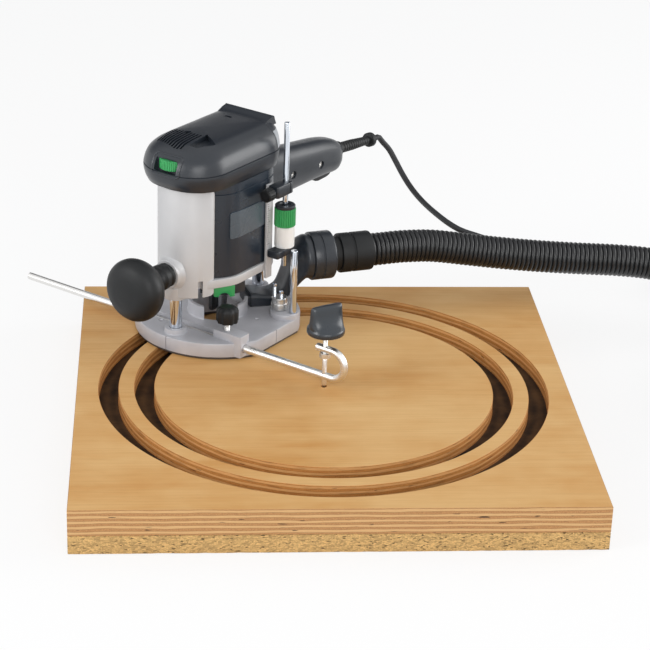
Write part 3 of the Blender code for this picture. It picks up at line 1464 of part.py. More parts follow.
def make_handle(motor, finish):
    start, end = handle_stations[0], handle_stations[-1]
    reach = max(handle_half_widths) + OVERRUN
    low, high = min(handle_bottoms) - OVERRUN, max(handle_tops) + OVERRUN
    slot = box_outline(
        TRIGGER_START - RUN,
        TRIGGER_START + TRIGGER_LENGTH + RUN,
        -TRIGGER_HALF_WIDTH - RUN,
        TRIGGER_HALF_WIDTH + RUN,
    )
    slot_top = trigger_low() + TRIGGER_INSIDE + TRIGGER_TRAVEL + RUN
    for side, name in ((-1, "handle_front_half"), (1, "handle_back_half")):
        half = piece(name, loft(handle_rings(1.0, 0.0, 0.0)), finish["abs"], motor)
        edges = sorted((side * SEAT / 2, -side * reach))
        other = box_outline(start - OVERRUN, end + OVERRUN, *edges)
        cut(
            half,
            tool(prism(other, low, high), motor),
            tool(loft(handle_rings(HANDLE_WALL_SHARE, -OVERRUN, -HANDLE_CAVITY_END)), motor),
            tool(prism(slot, low, slot_top), motor),
        )
        if side < 0:
            for x in handle_screw_stations:
                drill_screw_hole(half, motor, x)
    half_width = min(handle_half_widths[3:6])
    for x, name in zip(handle_screw_stations, ("handle_screw_inner", "handle_screw_outer")):
        head = half_width - HANDLE_RECESS_DEPTH - SEAT
        profile = (
            (0.0, head - HANDLE_SCREW_LENGTH),
            (HANDLE_SCREW_RADIUS, head - HANDLE_SCREW_LENGTH),
            (HANDLE_SCREW_RADIUS, head - SEAT - HANDLE_SCREW_RADIUS),
            (HANDLE_SCREW_HEAD_RADIUS, head - HANDLE_SCREW_RADIUS),
            (HANDLE_SCREW_HEAD_RADIUS, head),
            (0.0, head),
        )
        place = (x, 0.0, screw_height(x))
        piece(name, turned(profile, ROD_SIDES), finish["steel"], motor, place, (math.pi / 2, 0.0, 0.0))
    make_trigger(motor, finish)
    make_boot(motor, finish)


def drill_screw_hole(half, motor, x):
    reach = max(handle_half_widths) + OVERRUN
    place = (x, 0.0, screw_height(x))
    turn = (math.pi / 2, 0.0, 0.0)
    wide = HANDLE_SCREW_HEAD_RADIUS + SEAT
    cut(half, tool(rod(wide, 0.0, reach, ROD_SIDES), motor, place, turn))


def handle_height_at(x, heights):
    """The height of the handle's top or underside at a place along it."""
    for x0, x1, z0, z1 in zip(handle_stations, handle_stations[1:], heights, heights[1:]):
        if x0 <= x <= x1:
            return z0 + (z1 - z0) * (x - x0) / (x1 - x0)
    return heights[-1]


def handle_bottom_at(x):
    return handle_height_at(x, handle_bottoms)


def screw_height(x):
    low = handle_bottom_at(x)
    return low + (handle_height_at(x, handle_tops) - low) * HANDLE_SCREW_LEVEL


def under_handle(reach):
    """The height just below the handle, over what stands round the right column."""
    return min(handle_bottom_at(COLUMN_X - reach), handle_bottom_at(COLUMN_X + reach)) - SEAT


def trigger_low():
    """The handle's underside at the middle of the trigger."""
    return handle_bottom_at(TRIGGER_START + TRIGGER_LENGTH / 2)


def make_trigger(motor, finish):
    start, end = TRIGGER_START, TRIGGER_START + TRIGGER_LENGTH
    low = trigger_low()
    quarter = TRIGGER_LENGTH / 4
    underside = zip((start, start + quarter, end - quarter, end), TRIGGER_DROP_SHARES)
    side = [(start, low + TRIGGER_INSIDE)]
    side += [(x, low - TRIGGER_DROP * share) for x, share in underside]
    side.append((end, low + TRIGGER_INSIDE))
    half = TRIGGER_HALF_WIDTH
    trigger = loft([[(x, y, z) for x, z in side] for y in (-half, half)])
    piece("trigger", trigger, finish["abs"], motor)


def make_boot(motor, finish):
    """The cord's strain relief, a ribbed tapering tube with a ring at its end."""
    start = handle_stations[-1] + SEAT
    turn = (0.0, math.pi / 2 - BOOT_SLOPE, 0.0)
    slope = math.tan(BOOT_SLOPE)
    lead = BOOT_RADIUS * abs(slope)
    root_radius = BOOT_RADIUS * BOOT_ROOT_SWELL
    root_end, neck_start = (BOOT_LENGTH * share for share in BOOT_ROOT_SHARES)
    taper_start, ring_start = (BOOT_LENGTH * share for share in BOOT_TAPER_SHARES)
    profile = [
        (0.0, lead),
        (root_radius, lead),
        (root_radius, root_end),
        (BOOT_RADIUS, neck_start),
        (BOOT_RADIUS, taper_start),
        (BOOT_END_RADIUS, ring_start),
        (BOOT_RING_RADIUS, ring_start + SEAT),
        (BOOT_RING_RADIUS, BOOT_LENGTH - SEAT),
        (BOOT_END_RADIUS, BOOT_LENGTH),
        (0.0, BOOT_LENGTH),
    ]
    piece("cord_boot", turned(profile, FEW_SIDES), finish["rubber"], motor, (start, 0.0, BOOT_HEIGHT), turn)


# The depth stop on the motor


def make_depth_stop(motor, finish):
    """The rail, and with it the holder of the rod and the fixed white sleeve's block."""
    left, right = RAIL_X - RAIL_HALF_WIDTH, RAIL_X + RAIL_HALF_WIDTH
    piece(
        "depth_rail",
        prism(box_outline(left, right, rail_front, rail_back), RAIL_BOTTOM, RAIL_TOP),
        finish["casting"],
        motor,
    )
    hold = DEPTH_ROD_RADIUS * 2
    front = DEPTH_ROD_Y - hold
    right_end = DEPTH_ROD_X + hold
    low = ROD_HOLDER_BOTTOM
    holder = piece(
        "rod_holder",
        prism(box_outline(left, right_end, front, rail_front - SEAT), low, low + ROD_HOLDER_HEIGHT),
        finish["abs"],
        motor,
    )
    place = (DEPTH_ROD_X, DEPTH_ROD_Y, 0.0)
    passage = tool(rod(DEPTH_ROD_RADIUS + RUN, RAIL_BOTTOM, DEPTH_ROD_TOP), motor, place)
    cut(holder, passage)
    sleeve = piece(
        "adjuster_sleeve",
        rod(WHITE_SLEEVE_RADIUS, WHITE_SLEEVE_BOTTOM, WHITE_SLEEVE_TOP, FEW_SIDES),
        finish["white"],
        motor,
        place,
    )
    block = box_outline(
        left - DEPTH_ROD_X, hold / 2, -hold - DEPTH_ROD_RADIUS / 2, rail_front - SEAT - DEPTH_ROD_Y
    )
    join(sleeve, tool(prism(block, SLEEVE_BLOCK_BOTTOM, WHITE_SLEEVE_BOTTOM + OVERRUN), motor, place))
    cut(sleeve, passage)
    knob_bottom = WHITE_SLEEVE_TOP + SEAT
    knob_top = knob_bottom + FINE_KNOB_HEIGHT
    ribs = toothed(FINE_KNOB_RADIUS, FINE_KNOB_RIB_DEPTH, FINE_KNOB_RIBS)
    knob = piece("fine_adjust_knob", prism(ribs, knob_bottom, knob_top), finish["green"], motor, place)
    cut(knob, passage)
    bar = rod(DEPTH_ROD_RADIUS, depth_rod_bottom, DEPTH_ROD_TOP)
    piece("depth_rod", bar, finish["chrome"], motor, place)
    clamp_start = left - SEAT
    middle = low + ROD_HOLDER_HEIGHT / 2
    neck = DEPTH_CLAMP_NECK
    profile = (
        (0.0, SEAT),
        (DEPTH_CLAMP_RADIUS / 2, SEAT),
        (DEPTH_CLAMP_RADIUS / 2, neck),
        (DEPTH_CLAMP_RADIUS, neck),
        (DEPTH_CLAMP_RADIUS, neck + DEPTH_CLAMP_LENGTH),
        (0.0, neck + DEPTH_CLAMP_LENGTH),
    )
    piece(
        "depth_clamp_knob",
        turned(profile, ROD_SIDES),
        finish["abs"],
        motor,
        (clamp_start, DEPTH_ROD_Y, middle),
        (0.0, -math.pi / 2, 0.0),
    )


# The spindle lock


def make_spindle_lock(motor, finish):
    lock = frame("spindle_lock_axis", turn=(0.0, 0.0, LOCK_DIRECTION), parent=motor)
    outer = LOCK_GUARD_RADIUS + LOCK_GUARD_WALL
    spread = LOCK_GUARD_SPREAD
    band = arc(0.0, 0.0, outer, -spread, spread, CORNER_STEPS * 2)
    band += arc(0.0, 0.0, LOCK_GUARD_RADIUS, spread, -spread, CORNER_STEPS * 2)
    guard_top = FLANGE_BOTTOM - SEAT
    guard = piece("lock_guard", prism(band, LOCK_GUARD_BOTTOM, guard_top), finish["abs"], lock)
    face = outer + SEAT + LOCK_TRAVEL
    half = LOCK_BUTTON_HALF_WIDTH
    outline = box_outline(face, face + LOCK_BUTTON_THICKNESS, -half, half)
    plate = prism(outline, LOCK_BUTTON_BOTTOM, LOCK_BUTTON_TOP)
    button = piece("spindle_lock_button", plate, finish["green"], lock)
    tip = NUT_RADIUS + SEAT + LOCK_TRAVEL
    along = (0.0, math.pi / 2, 0.0)
    place = (0.0, 0.0, LOCK_PIN_HEIGHT)
    pin = rod(LOCK_PIN_RADIUS, tip, face + LOCK_BUTTON_THICKNESS / 2, ROD_SIDES)
    join(button, tool(pin, lock, place, along))
    hole = rod(LOCK_PIN_RADIUS + RUN, LOCK_GUARD_RADIUS / 2, outer + OVERRUN, ROD_SIDES)
    cut(guard, tool(hole, lock, place, along))


def make_label(motor, finish):
    """A bare plate that runs round the housing's left corner onto its front."""
    inner = HOUSING_CORNER_RADIUS + SEAT
    outer = inner + LABEL_THICKNESS
    front = -math.pi / 2
    x, y = -HOUSING_CORNER_X, -HOUSING_CORNER_Y
    plate = arc(x, y, outer, front - LABEL_CORNER_TURN, front, CORNER_STEPS)
    plate += [(LABEL_RIGHT, y - outer), (LABEL_RIGHT, y - inner)]
    plate += arc(x, y, inner, front, front - LABEL_CORNER_TURN, CORNER_STEPS)
    height = HOUSING_TOP - housing_bottom
    low = housing_bottom + height * LABEL_BOTTOM_SHARE
    high = housing_bottom + height * LABEL_TOP_SHARE
    piece("label_plate", prism(plate, low, high), finish["label"], motor)


def main():
    for old in list(bpy.data.objects):
        bpy.data.objects.remove(old, do_unlink=True)
    finish = {
        "chipboard": material("chipboard", (0.62, 0.42, 0.20), 0.85),
        "plywood": material("birch_plywood", (0.80, 0.58, 0.33), 0.55),
        "steel": material("bright_steel", (0.72, 0.72, 0.73), 0.28, 1.0),
        "chrome": material("chromed_steel", (0.85, 0.85, 0.87), 0.10, 1.0),
        "casting": material("cast_aluminium", (0.62, 0.63, 0.64), 0.45, 0.9),
        "silver": material("painted_aluminium", (0.80, 0.80, 0.80), 0.40, 0.4),
        "phenolic": material("phenolic_sheet", (0.30, 0.29, 0.28), 0.50),
        "abs": material("black_abs", (0.035, 0.04, 0.045), 0.42),
        "rubber": material("black_rubber", (0.02, 0.02, 0.022), 0.55),
        "hose": material("hose_plastic", (0.015, 0.015, 0.016), 0.45),
        "cord": material("cord_rubber", (0.03, 0.03, 0.03), 0.60),
        "green": material("green_plastic", (0.06, 0.45, 0.14), 0.40),
        "white": material("white_plastic", (0.82, 0.82, 0.80), 0.40),
        "copper": material("wound_copper", (0.55, 0.28, 0.15), 0.40, 0.9),
        "carbide": material("carbide_steel", (0.45, 0.46, 0.48), 0.35, 1.0),
        "label": material("label_plastic", (0.05, 0.055, 0.06), 0.35),
    }
    make_board(finish)
    trammel = frame("trammel_pivot", (0.0, 0.0, board_top), (0.0, 0.0, SWING_AT_REST))
    make_trammel(trammel, finish)
    router = frame("router_base", (ROD_OFFSET, rod_reach, 0.0), parent=trammel)
    port = frame("dust_port_axis", turn=(0.0, 0.0, PORT_TURN), parent=router)
    make_base(router, port, finish)
    make_rod_clamp(router, finish)
    make_turret(router, finish)
    make_dust_port(port, finish)
    motor = frame("motor_unit", parent=router)
    make_bracket(motor, finish)
    make_housing(motor, finish)
    make_spindle(motor, finish)
    make_cap(motor, finish)
    make_handle(motor, finish)
    make_depth_stop(motor, finish)
    make_spindle_lock(motor, finish)
    make_label(motor, finish)
    make_hose(finish)
    make_cord(finish)


main()
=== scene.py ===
"""Router circle cutting jig: finished pieces, materials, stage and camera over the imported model.

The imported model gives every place. Each operator below makes one piece or a group of like pieces,
which stand for the plain solids of the same names. Metres, +Z up, the model's own frame.
"""

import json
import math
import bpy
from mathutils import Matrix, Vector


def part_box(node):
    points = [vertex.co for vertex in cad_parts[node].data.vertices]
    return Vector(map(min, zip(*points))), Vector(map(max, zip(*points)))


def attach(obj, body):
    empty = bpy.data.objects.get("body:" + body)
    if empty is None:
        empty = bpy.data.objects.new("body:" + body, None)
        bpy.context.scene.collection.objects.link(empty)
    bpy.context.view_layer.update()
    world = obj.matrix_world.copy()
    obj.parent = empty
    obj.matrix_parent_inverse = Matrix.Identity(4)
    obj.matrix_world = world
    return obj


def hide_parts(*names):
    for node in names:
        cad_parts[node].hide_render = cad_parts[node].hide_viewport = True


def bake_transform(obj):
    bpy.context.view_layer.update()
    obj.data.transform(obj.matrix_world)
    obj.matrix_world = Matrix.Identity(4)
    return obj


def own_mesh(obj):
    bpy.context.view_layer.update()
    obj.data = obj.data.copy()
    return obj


bl_info = {
    "name": "Router circle cutting jig",
    "version": (1, 0, 0),
    "blender": (4, 5, 0),
    "location": "View3D > Sidebar > Circle jig",
    "description": "Pieces, materials, stage and camera of a router on a trammel rod",
    "category": "Object",
}

import bmesh
import bpy
from bpy.props import FloatProperty, FloatVectorProperty, PointerProperty
from mathutils import Matrix, Vector

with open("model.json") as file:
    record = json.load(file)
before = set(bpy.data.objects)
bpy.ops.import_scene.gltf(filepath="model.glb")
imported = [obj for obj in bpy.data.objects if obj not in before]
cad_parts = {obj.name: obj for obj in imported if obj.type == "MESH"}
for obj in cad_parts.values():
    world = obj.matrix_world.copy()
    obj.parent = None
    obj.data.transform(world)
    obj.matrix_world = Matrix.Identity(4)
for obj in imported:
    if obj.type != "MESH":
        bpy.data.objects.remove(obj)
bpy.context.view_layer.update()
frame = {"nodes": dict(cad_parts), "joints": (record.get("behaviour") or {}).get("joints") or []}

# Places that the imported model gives
joints = {joint["name"]: joint for joint in frame["joints"]}
spindle_place = Vector(joints["spindle_spin"]["pos_m"])
towards_pin = Vector(joints["radius_slide"]["axis"])
swing = math.atan2(towards_pin.x, -towards_pin.y)
panel_bottom, board_top = (corner.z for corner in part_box("grooved_panel"))
TRAMMEL = Matrix.Translation((0.0, 0.0, board_top)) @ Matrix.Rotation(swing, 4, "Z")
ROUTER = Matrix.Translation((spindle_place.x, spindle_place.y, board_top)) @ Matrix.Rotation(swing, 4, "Z")

# Turns that lay a piece's own Z along or against an axis. The last lays an outline's X along Y.
ALONG_X = Matrix.Rotation(math.pi / 2, 4, "Y")
AGAINST_X = Matrix.Rotation(-math.pi / 2, 4, "Y")
AGAINST_Y = Matrix.Rotation(math.pi / 2, 4, "X")
FACING_X = Matrix.Rotation(math.pi / 2, 4, "Z") @ Matrix.Rotation(math.pi / 2, 4, "X")

# Faces round a turned piece, by its size
ROUND = 96
MIDDLE = 48
SMALL = 24

# The gap between a piece and its seat, and the middle of a rounded edge as a share of its width
SEAT = 0.0003
MITRE = 0.3

# Board
GROOVES = (0.182, 0.218)
GROOVE_HALF = 0.010
GROOVE_DEPTH = 0.015
PANEL_SIDES = 256
PILOT_RADIUS = 0.0029
PILOT_DEPTH = 0.009

# Trammel
ROD_RADIUS = 0.004
ROD_HEIGHT = 0.012
ROD_LENGTH = 0.400
ROD_OFFSET = 0.050
BEND_RADIUS = 0.015
HOOK_TOP = ROD_HEIGHT + 2 * BEND_RADIUS
PIN_RADIUS = 0.0025

# Router base
BASE_RADIUS, BASE_FLAT = 0.0885, 0.0805
CASTING_BOTTOM = 0.0026
BASE_TOP = 0.0183
COLLAR_RADIUS = 0.032
COLLAR_OPENING = 0.0285
COLLAR_TOP = 0.033
COLUMN_X = 0.072
COLUMN_RADIUS = 0.0065
BOSS_TOP = 0.024
TURRET_X, TURRET_Y = 0.033, -0.0575
POST_X, POST_Y, POST_RADIUS = 0.0335, -0.0750, 0.0038
CLAMP_Y = -0.051

# The rod clamp's block: left, right, front and back
CLAMP_BLOCK = (-0.058, -0.042, -0.0742, -0.038)

# Motor unit
SHELL_X, SHELL_RADIUS, SHELL_WALL = -0.048, 0.034, 0.0026
SHELL_BOTTOM, SHELL_TOP = 0.062, 0.180
FLANGE_BOTTOM, FLANGE_TOP = 0.070, 0.0795
KNOB_HEIGHT = 0.088
HOUSING_TOP = 0.182
HOUSING_X, HOUSING_Y, HOUSING_CORNER = 0.022, 0.012, 0.034

# The top cap: its outline at six heights, its seam, and the dial in its end
CAP_LEVELS = (0.1825, 0.190, 0.2005, 0.213, 0.2205, 0.2255)
CAP_LEFT = (-0.0860, -0.0901, -0.0915, -0.0865, -0.0770, -0.0655)
CAP_RIGHT = (0.0550, 0.0561, 0.0570, 0.0570, 0.0562, 0.0540)
CAP_HALF = (0.0458, 0.0478, 0.0485, 0.0452, 0.0387, 0.0310)
CAP_CORNER = (0.0383, 0.0407, 0.0410, 0.0372, 0.0301, 0.0230)
CAP_END_CORNER = 0.65
SEAM_DEPTH = 0.0008
COVER_START = 0.0366
DIAL_X, DIAL_HEIGHT = -0.0740, 0.2075
DIAL_RADIUS, DIAL_HALF = 0.0158, 0.0052
POCKET_RADIUS, POCKET_HALF = 0.0162, 0.0056
WINDOW_HALVES, BEAD_HALVES = (0.0140, 0.0072), (0.0175, 0.0098)

# Handle, cord boot, depth stop and spindle lock
HANDLE_X = (0.0575, 0.0700, 0.0900, 0.1210, 0.1500, 0.1820, 0.2030, 0.2135)
HANDLE_HIGH = (0.1815, 0.1800, 0.1765, 0.1715, 0.1675, 0.1625, 0.1560, 0.1480)
HANDLE_LOW = (0.1240, 0.1235, 0.1220, 0.1205, 0.1205, 0.1200, 0.1190, 0.1240)
HANDLE_HALF = (0.0200, 0.0185, 0.0170, 0.0160, 0.0160, 0.0155, 0.0145, 0.0110)
HANDLE_SCREWS = (
    (0.11194, "inner_screw", "handle_screw_inner"),
    (0.16498, "outer_screw", "handle_screw_outer"),
)
BOOT_START, BOOT_LENGTH, BOOT_SLOPE, BOOT_HEIGHT = 0.2138, 0.074, math.radians(-6.5), 0.140
RAIL_LEFT, RAIL_RIGHT, RAIL_FRONT, RAIL_BACK = 0.0168, 0.0268, -0.0508, -0.0478
STOP_X, STOP_Y = 0.0385, -0.0580
LOCK_TURN = math.radians(225.0)

# Dust port and hose
PORT_TURN = math.radians(-36.0)
PORT_HEIGHT = 0.069
DUCT_LOW, DUCT_HIGH = 0.0186, 0.0345
CUFF_START, CUFF_END = 0.1266, 0.1711
HOSE_RADIUS = 0.018
HOSE_BORE = 0.0135
HOSE_COIL = (0.628, 0.008)
HOSE_COIL_RADIUS = 0.216
HOSE_COIL_TURNS = 2.33
HOSE_END_RADIUS = 0.022

# Mains cord
CORD_RADIUS = 0.00325
CORD_COIL = (0.500, 0.340)
CORD_COIL_RADIUS = 0.053
CORD_COIL_TURNS = 13.25
PLUG_RADIUS = 0.0185

# The hose's route to its coil, after the straight bit that leaves its cuff
HOSE_ROUTE = (
    (0.1300, 0.2110, 0.1125),
    (0.1700, 0.2180, 0.1055),
    (0.2100, 0.2230, 0.0990),
    (0.2550, 0.2270, 0.0935),
    (0.3000, 0.2290, 0.0900),
    (0.3430, 0.2300, 0.0875),
    (0.3800, 0.2303, 0.0835),
    (0.4150, 0.2300, 0.0755),
    (0.4480, 0.2290, 0.0630),
    (0.4800, 0.2278, 0.0470),
    (0.5120, 0.2264, 0.0310),
)

# The mains cord's route from the handle's boot, along the back of the hose, to its coil
CORD_ROUTE = (
    (0.0905, 0.3850, 0.1700),
    (0.0990, 0.3870, 0.1600),
    (0.1065, 0.3810, 0.1480),
    (0.1135, 0.3690, 0.1370),
    (0.1205, 0.3520, 0.1290),
    (0.1280, 0.3310, 0.1240),
    (0.1360, 0.3080, 0.1215),
    (0.1450, 0.2850, 0.1200),
    (0.1555, 0.2640, 0.1180),
    (0.1680, 0.2500, 0.1150),
    (0.1840, 0.2450, 0.1110),
    (0.2040, 0.2455, 0.1050),
    (0.2400, 0.2492, 0.0985),
    (0.3000, 0.2520, 0.0910),
    (0.3430, 0.2528, 0.0880),
    (0.3740, 0.2532, 0.0840),
    (0.4000, 0.2545, 0.0750),
    (0.4200, 0.2590, 0.0590),
    (0.4360, 0.2660, 0.0410),
    (0.4500, 0.2740, 0.0230),
    (0.4620, 0.2830, 0.0100),
)

# The photograph's viewpoint
CAMERA_PLACE = (-0.1642, -1.9299, 1.0123)
CAMERA_YAW = math.radians(4.832)
CAMERA_PITCH = math.radians(24.869)
CAMERA_ROLL = math.radians(2.027)


WHITE = (1.0, 1.0, 1.0)


# What a user may change


def linear(code):
    """An sRGB hex colour as linear red, green and blue."""
    shares = [int(code[i : i + 2], 16) / 255 for i in (1, 3, 5)]
    return tuple(c / 12.92 if c <= 0.04045 else ((c + 0.055) / 1.055) ** 2.4 for c in shares)


def hue(name, description, code):
    return FloatVectorProperty(
        name=name, description=description, subtype="COLOR", size=3, min=0.0, max=1.0, default=linear(code)
    )


def size(name, description, value, most=1.0):
    return FloatProperty(
        name=name, description=description, unit="LENGTH", min=0.0, max=most, precision=5, default=value
    )


def power(name, description, value):
    return FloatProperty(name=name, description=description, unit="POWER", default=value)


class JigBoard(bpy.types.PropertyGroup):
    veneer: hue("Veneer", "Birch face of the panel", "#cd9653")
    veneer_pale: hue("Pale veneer", "Paler figure in the face", "#e4bc80")
    long_grain: hue("Long grain", "Plies cut along the grain", "#d2a973")
    end_grain: hue("End grain", "Plies cut across the grain", "#bb8a56")
    glue: hue("Glue line", "Dark line between two plies", "#855a35")
    # The scorch colour is the cutter's real burn, and also painted shade in the groove floors and in the ply
    # voids.
    scorch_and_shade: hue("Scorch", "Burnt wood in the grooves", "#1d0f08")
    chip: hue("Chips", "Light chips of the chipboard", "#cba469")
    ply_thickness: size("Ply thickness", "Thickness of one ply", 0.00267, 0.02)
    chip_length: size("Chip length", "Length of a chip in the backing board", 0.0024, 0.02)


class JigTrammel(bpy.types.PropertyGroup):
    steel: hue("Bright steel", "Rod, pin and screws", "#e6e5e3")
    wing: hue("Wing knob", "Thermoset of the pivot's wing knob", "#252c33")
    edge: size("Edge", "Rounding at the knob's rim", 0.0012, 0.01)


class JigRouter(bpy.types.PropertyGroup):
    casting: hue("Casting", "Painted base casting", "#b9b9be")
    shell: hue("Shell", "Painted motor bracket", "#c4c4c5")
    chrome: hue("Chrome", "Columns, post and depth rod", "#dce2ea")
    cap: hue("Cap", "Moulded top cap and handle", "#23282f")
    housing: hue("Housing", "Moulded motor housing", "#1f2934")
    grip: hue("Grip", "Soft mouldings", "#101214")
    green: hue("Green", "Dial, fine adjuster and lock button", "#37a05a")
    white: hue("White", "Adjuster's sleeve", "#ecebe8")
    edge: size("Edge", "Rounding of a casting's edges", 0.0012, 0.01)


class JigHose(bpy.types.PropertyGroup):
    hose: hue("Hose", "Ribbed hose", "#17181a")
    cord: hue("Cord", "Sheath of the mains cord", "#222326")
    rib_pitch: size("Rib pitch", "From one rib to the next", 0.0052, 0.05)
    rib_depth: size("Rib depth", "Height of a rib over its valley", 0.0024, 0.01)


class JigStage(bpy.types.PropertyGroup):
    floor: hue("Floor", "Pale studio floor", "#f7f7f7")
    key: power("Key light", "Power of the lamps at the left and in front", 23.0)
    fill: power("Fill light", "Power of the lamp at the right", 24.0)
    sky: FloatProperty(name="Sky", description="Strength of the light from all around", min=0.0, default=0.60)
    lens: FloatProperty(name="Lens", description="Focal length", unit="CAMERA", default=117.8)


def board():
    return bpy.context.scene.jig_board


def trammel():
    return bpy.context.scene.jig_trammel


def router():
    return bpy.context.scene.jig_router


def hose():
    return bpy.context.scene.jig_hose


def stage():
    return bpy.context.scene.jig_stage


# Outlines


def arc(x, y, radius, start, end, steps):
    """Points along a circle's arc, both ends included."""
    turns = [start + (end - start) * i / steps for i in range(steps + 1)]
    return [(x + radius * math.cos(t), y + radius * math.sin(t)) for t in turns]


def circle(radius, sides, x=0.0, y=0.0):
    return arc(x, y, radius, 0.0, 2 * math.pi, sides)[:-1]


def even_turns(count):
    return [2 * math.pi * i / count for i in range(count)]


def rectangle(left, right, low, high):
    return [(left, low), (right, low), (right, high), (left, high)]


def hull(points):
    """The convex outline round some points, counter-clockwise."""
    ordered = sorted(set(points))
    halves = []
    for line in (ordered, ordered[::-1]):
        half = []
        for p in line:
            while len(half) > 1:
                (ax, ay), (bx, by) = half[-2], half[-1]
                if (bx - ax) * (p[1] - ay) - (by - ay) * (p[0] - ax) > 0:
                    break
                half.pop()
            half.append(p)
        halves += half[:-1]
    return halves


def belt(circles, sides=ROUND):
    """The outline of a belt laid round circles that are given as x, y and radius."""
    return hull([p for x, y, radius in circles for p in circle(radius, sides, x, y)])


def rounded_box(left, right, low, high, corner, steps=8, right_share=1.0):
    """A box with round corners. Those at the right are a share of the others."""
    end = corner * right_share
    centres = (
        (right - end, high - end, end),
        (left + corner, high - corner, corner),
        (left + corner, low + corner, corner),
        (right - end, low + end, end),
    )
    quarter = math.pi / 2
    return [
        p
        for i, (x, y, radius) in enumerate(centres)
        for p in arc(x, y, radius, i * quarter, (i + 1) * quarter, steps)
    ]


def toothed(radius, depth, teeth, land=0.3):
    """A circle with flat-topped teeth, four points a tooth."""
    valley, half = radius - depth, land * 0.4
    corners = ((-land, radius), (land, radius), (0.5 - half, valley), (0.5 + half, valley))
    turns = [(r, 2 * math.pi * (i + share) / teeth) for i in range(teeth) for share, r in corners]
    return [(r * math.cos(t), r * math.sin(t)) for r, t in turns]


def shrunk(outline, by):
    """An outline moved inward."""
    count = len(outline)
    result = []
    for i in range(count):
        before, here, after = (Vector(outline[(i + k) % count]) for k in (-1, 0, 1))
        one = (here - before).normalized()
        two = (after - here).normalized()
        middle = Vector((-one.y - two.y, one.x + two.x)).normalized()
        share = max(0.4, middle.dot(Vector((-one.y, one.x))))
        result.append(tuple(here + middle * (by / share)))
    return result


def lifted(outline, height):
    return [(x, y, height) for x, y in outline]


def stacked(outline, levels):
    """Rings of one outline, each given how far inward it is moved and its height."""
    return [lifted(shrunk(outline, inset), height) for inset, height in levels]


# Shapes


def loft(rings, ends=True, closed=False):
    """A skin over rings of equal count."""
    shape = bmesh.new()
    rows = [[shape.verts.new(p) for p in ring] for ring in rings]
    pairs = list(zip(rows, rows[1:] + rows[:1])) if closed else list(zip(rows, rows[1:]))
    for low, high in pairs:
        for i in range(len(low)):
            j = (i + 1) % len(low)
            shape.faces.new((low[i], low[j], high[j], high[i]))
    if ends and not closed:
        shape.faces.new(rows[0][::-1])
        shape.faces.new(rows[-1])
    return shape


def prism(outline, low, high, edge=0.0):
    """An upright prism, with its top and bottom edges rounded by edge."""
    if not edge:
        return loft([lifted(outline, low), lifted(outline, high)])
    bends = (0.0, math.pi / 4, math.pi / 2)
    steps = [(edge * (1 - math.sin(bend)), edge * (1 - math.cos(bend))) for bend in bends]
    foot = [(inset, low + rise) for inset, rise in steps]
    head = [(inset, high - rise) for inset, rise in reversed(steps)]
    return loft(stacked(outline, foot + head))


def turned(profile, sides=ROUND, hollow=False):
    """A solid of revolution about Z from radius and height pairs. A hollow one closes on itself."""
    shape = bmesh.new()
    rows = []
    for radius, height in profile:
        if radius > 0:
            rows.append([shape.verts.new((x, y, height)) for x, y in circle(radius, sides)])
        else:
            rows.append([shape.verts.new((0.0, 0.0, height))])
    pairs = list(zip(rows, rows[1:]))
    if hollow:
        pairs.append((rows[-1], rows[0]))
    for low, high in pairs:
        for i in range(sides):
            j = (i + 1) % sides
            corners = [low[i % len(low)], low[j % len(low)], high[j % len(high)], high[i % len(high)]]
            shape.faces.new(list(dict.fromkeys(corners)))
    if not hollow:
        for row in (rows[0], rows[-1]):
            if len(row) > 2:
                shape.faces.new(row)
    return shape


def bar(radius, low, high, edge=0.0, sides=MIDDLE):
    """A round bar with rounded rims."""
    if not edge:
        return turned(((radius, low), (radius, high)), sides)
    middle = edge * MITRE
    profile = (
        (radius - edge, low),
        (radius - middle, low + middle),
        (radius, low + edge),
        (radius, high - edge),
        (radius - middle, high - middle),
        (radius - edge, high),
    )
    return turned(profile, sides)


def boss(radius, root, top, fillet, edge, sides=ROUND):
    """A round boss that flares into the face that it stands on."""
    flare = [
        (radius + fillet * (1 - math.sin(t)), root + fillet * (1 - math.cos(t)))
        for t in (math.pi / 2 * i / 4 for i in range(5))
    ]
    rim = [(radius, top - edge), (radius - edge * MITRE, top - edge * MITRE), (radius - edge, top)]
    return turned([(radius + fillet, root - fillet), *flare, *rim], sides)


def curve_point(start, leave, end, arrive, t):
    """A point on the smooth curve that leaves one point and arrives at the next."""
    return (
        start * (2 * t**3 - 3 * t**2 + 1)
        + leave * (t**3 - 2 * t**2 + t)
        + end * (3 * t**2 - 2 * t**3)
        + arrive * (t**3 - t**2)
    )


def between(rings, places, steps):
    """More rings, on smooth curves through the given ones."""
    last = len(rings) - 1
    slopes = []
    for i in range(last + 1):
        a, b = max(i - 1, 0), min(i + 1, last)
        slopes.append([(Vector(q) - Vector(p)) / (places[b] - places[a]) for p, q in zip(rings[a], rings[b])])
    rows = []
    for i in range(last):
        run = places[i + 1] - places[i]
        pairs = list(zip(rings[i], slopes[i], rings[i + 1], slopes[i + 1]))
        for t in (k / steps for k in range(steps)):
            rows.append([curve_point(Vector(p), m * run, Vector(q), n * run, t) for p, m, q, n in pairs])
    rows.append([Vector(p) for p in rings[-1]])
    return rows


def sweep(line, radii, sides):
    """Rings round a line, without twist."""
    last = len(line) - 1
    side = (line[1] - line[0]).orthogonal().normalized()
    turns = [(math.cos(t), math.sin(t)) for t in even_turns(sides)]
    rings = []
    for i, p in enumerate(line):
        along = (line[min(i + 1, last)] - line[max(i - 1, 0)]).normalized()
        side = (side - along * side.dot(along)).normalized()
        up = along.cross(side)
        rings.append([p + (side * c + up * s) * radii[i] for c, s in turns])
    return rings


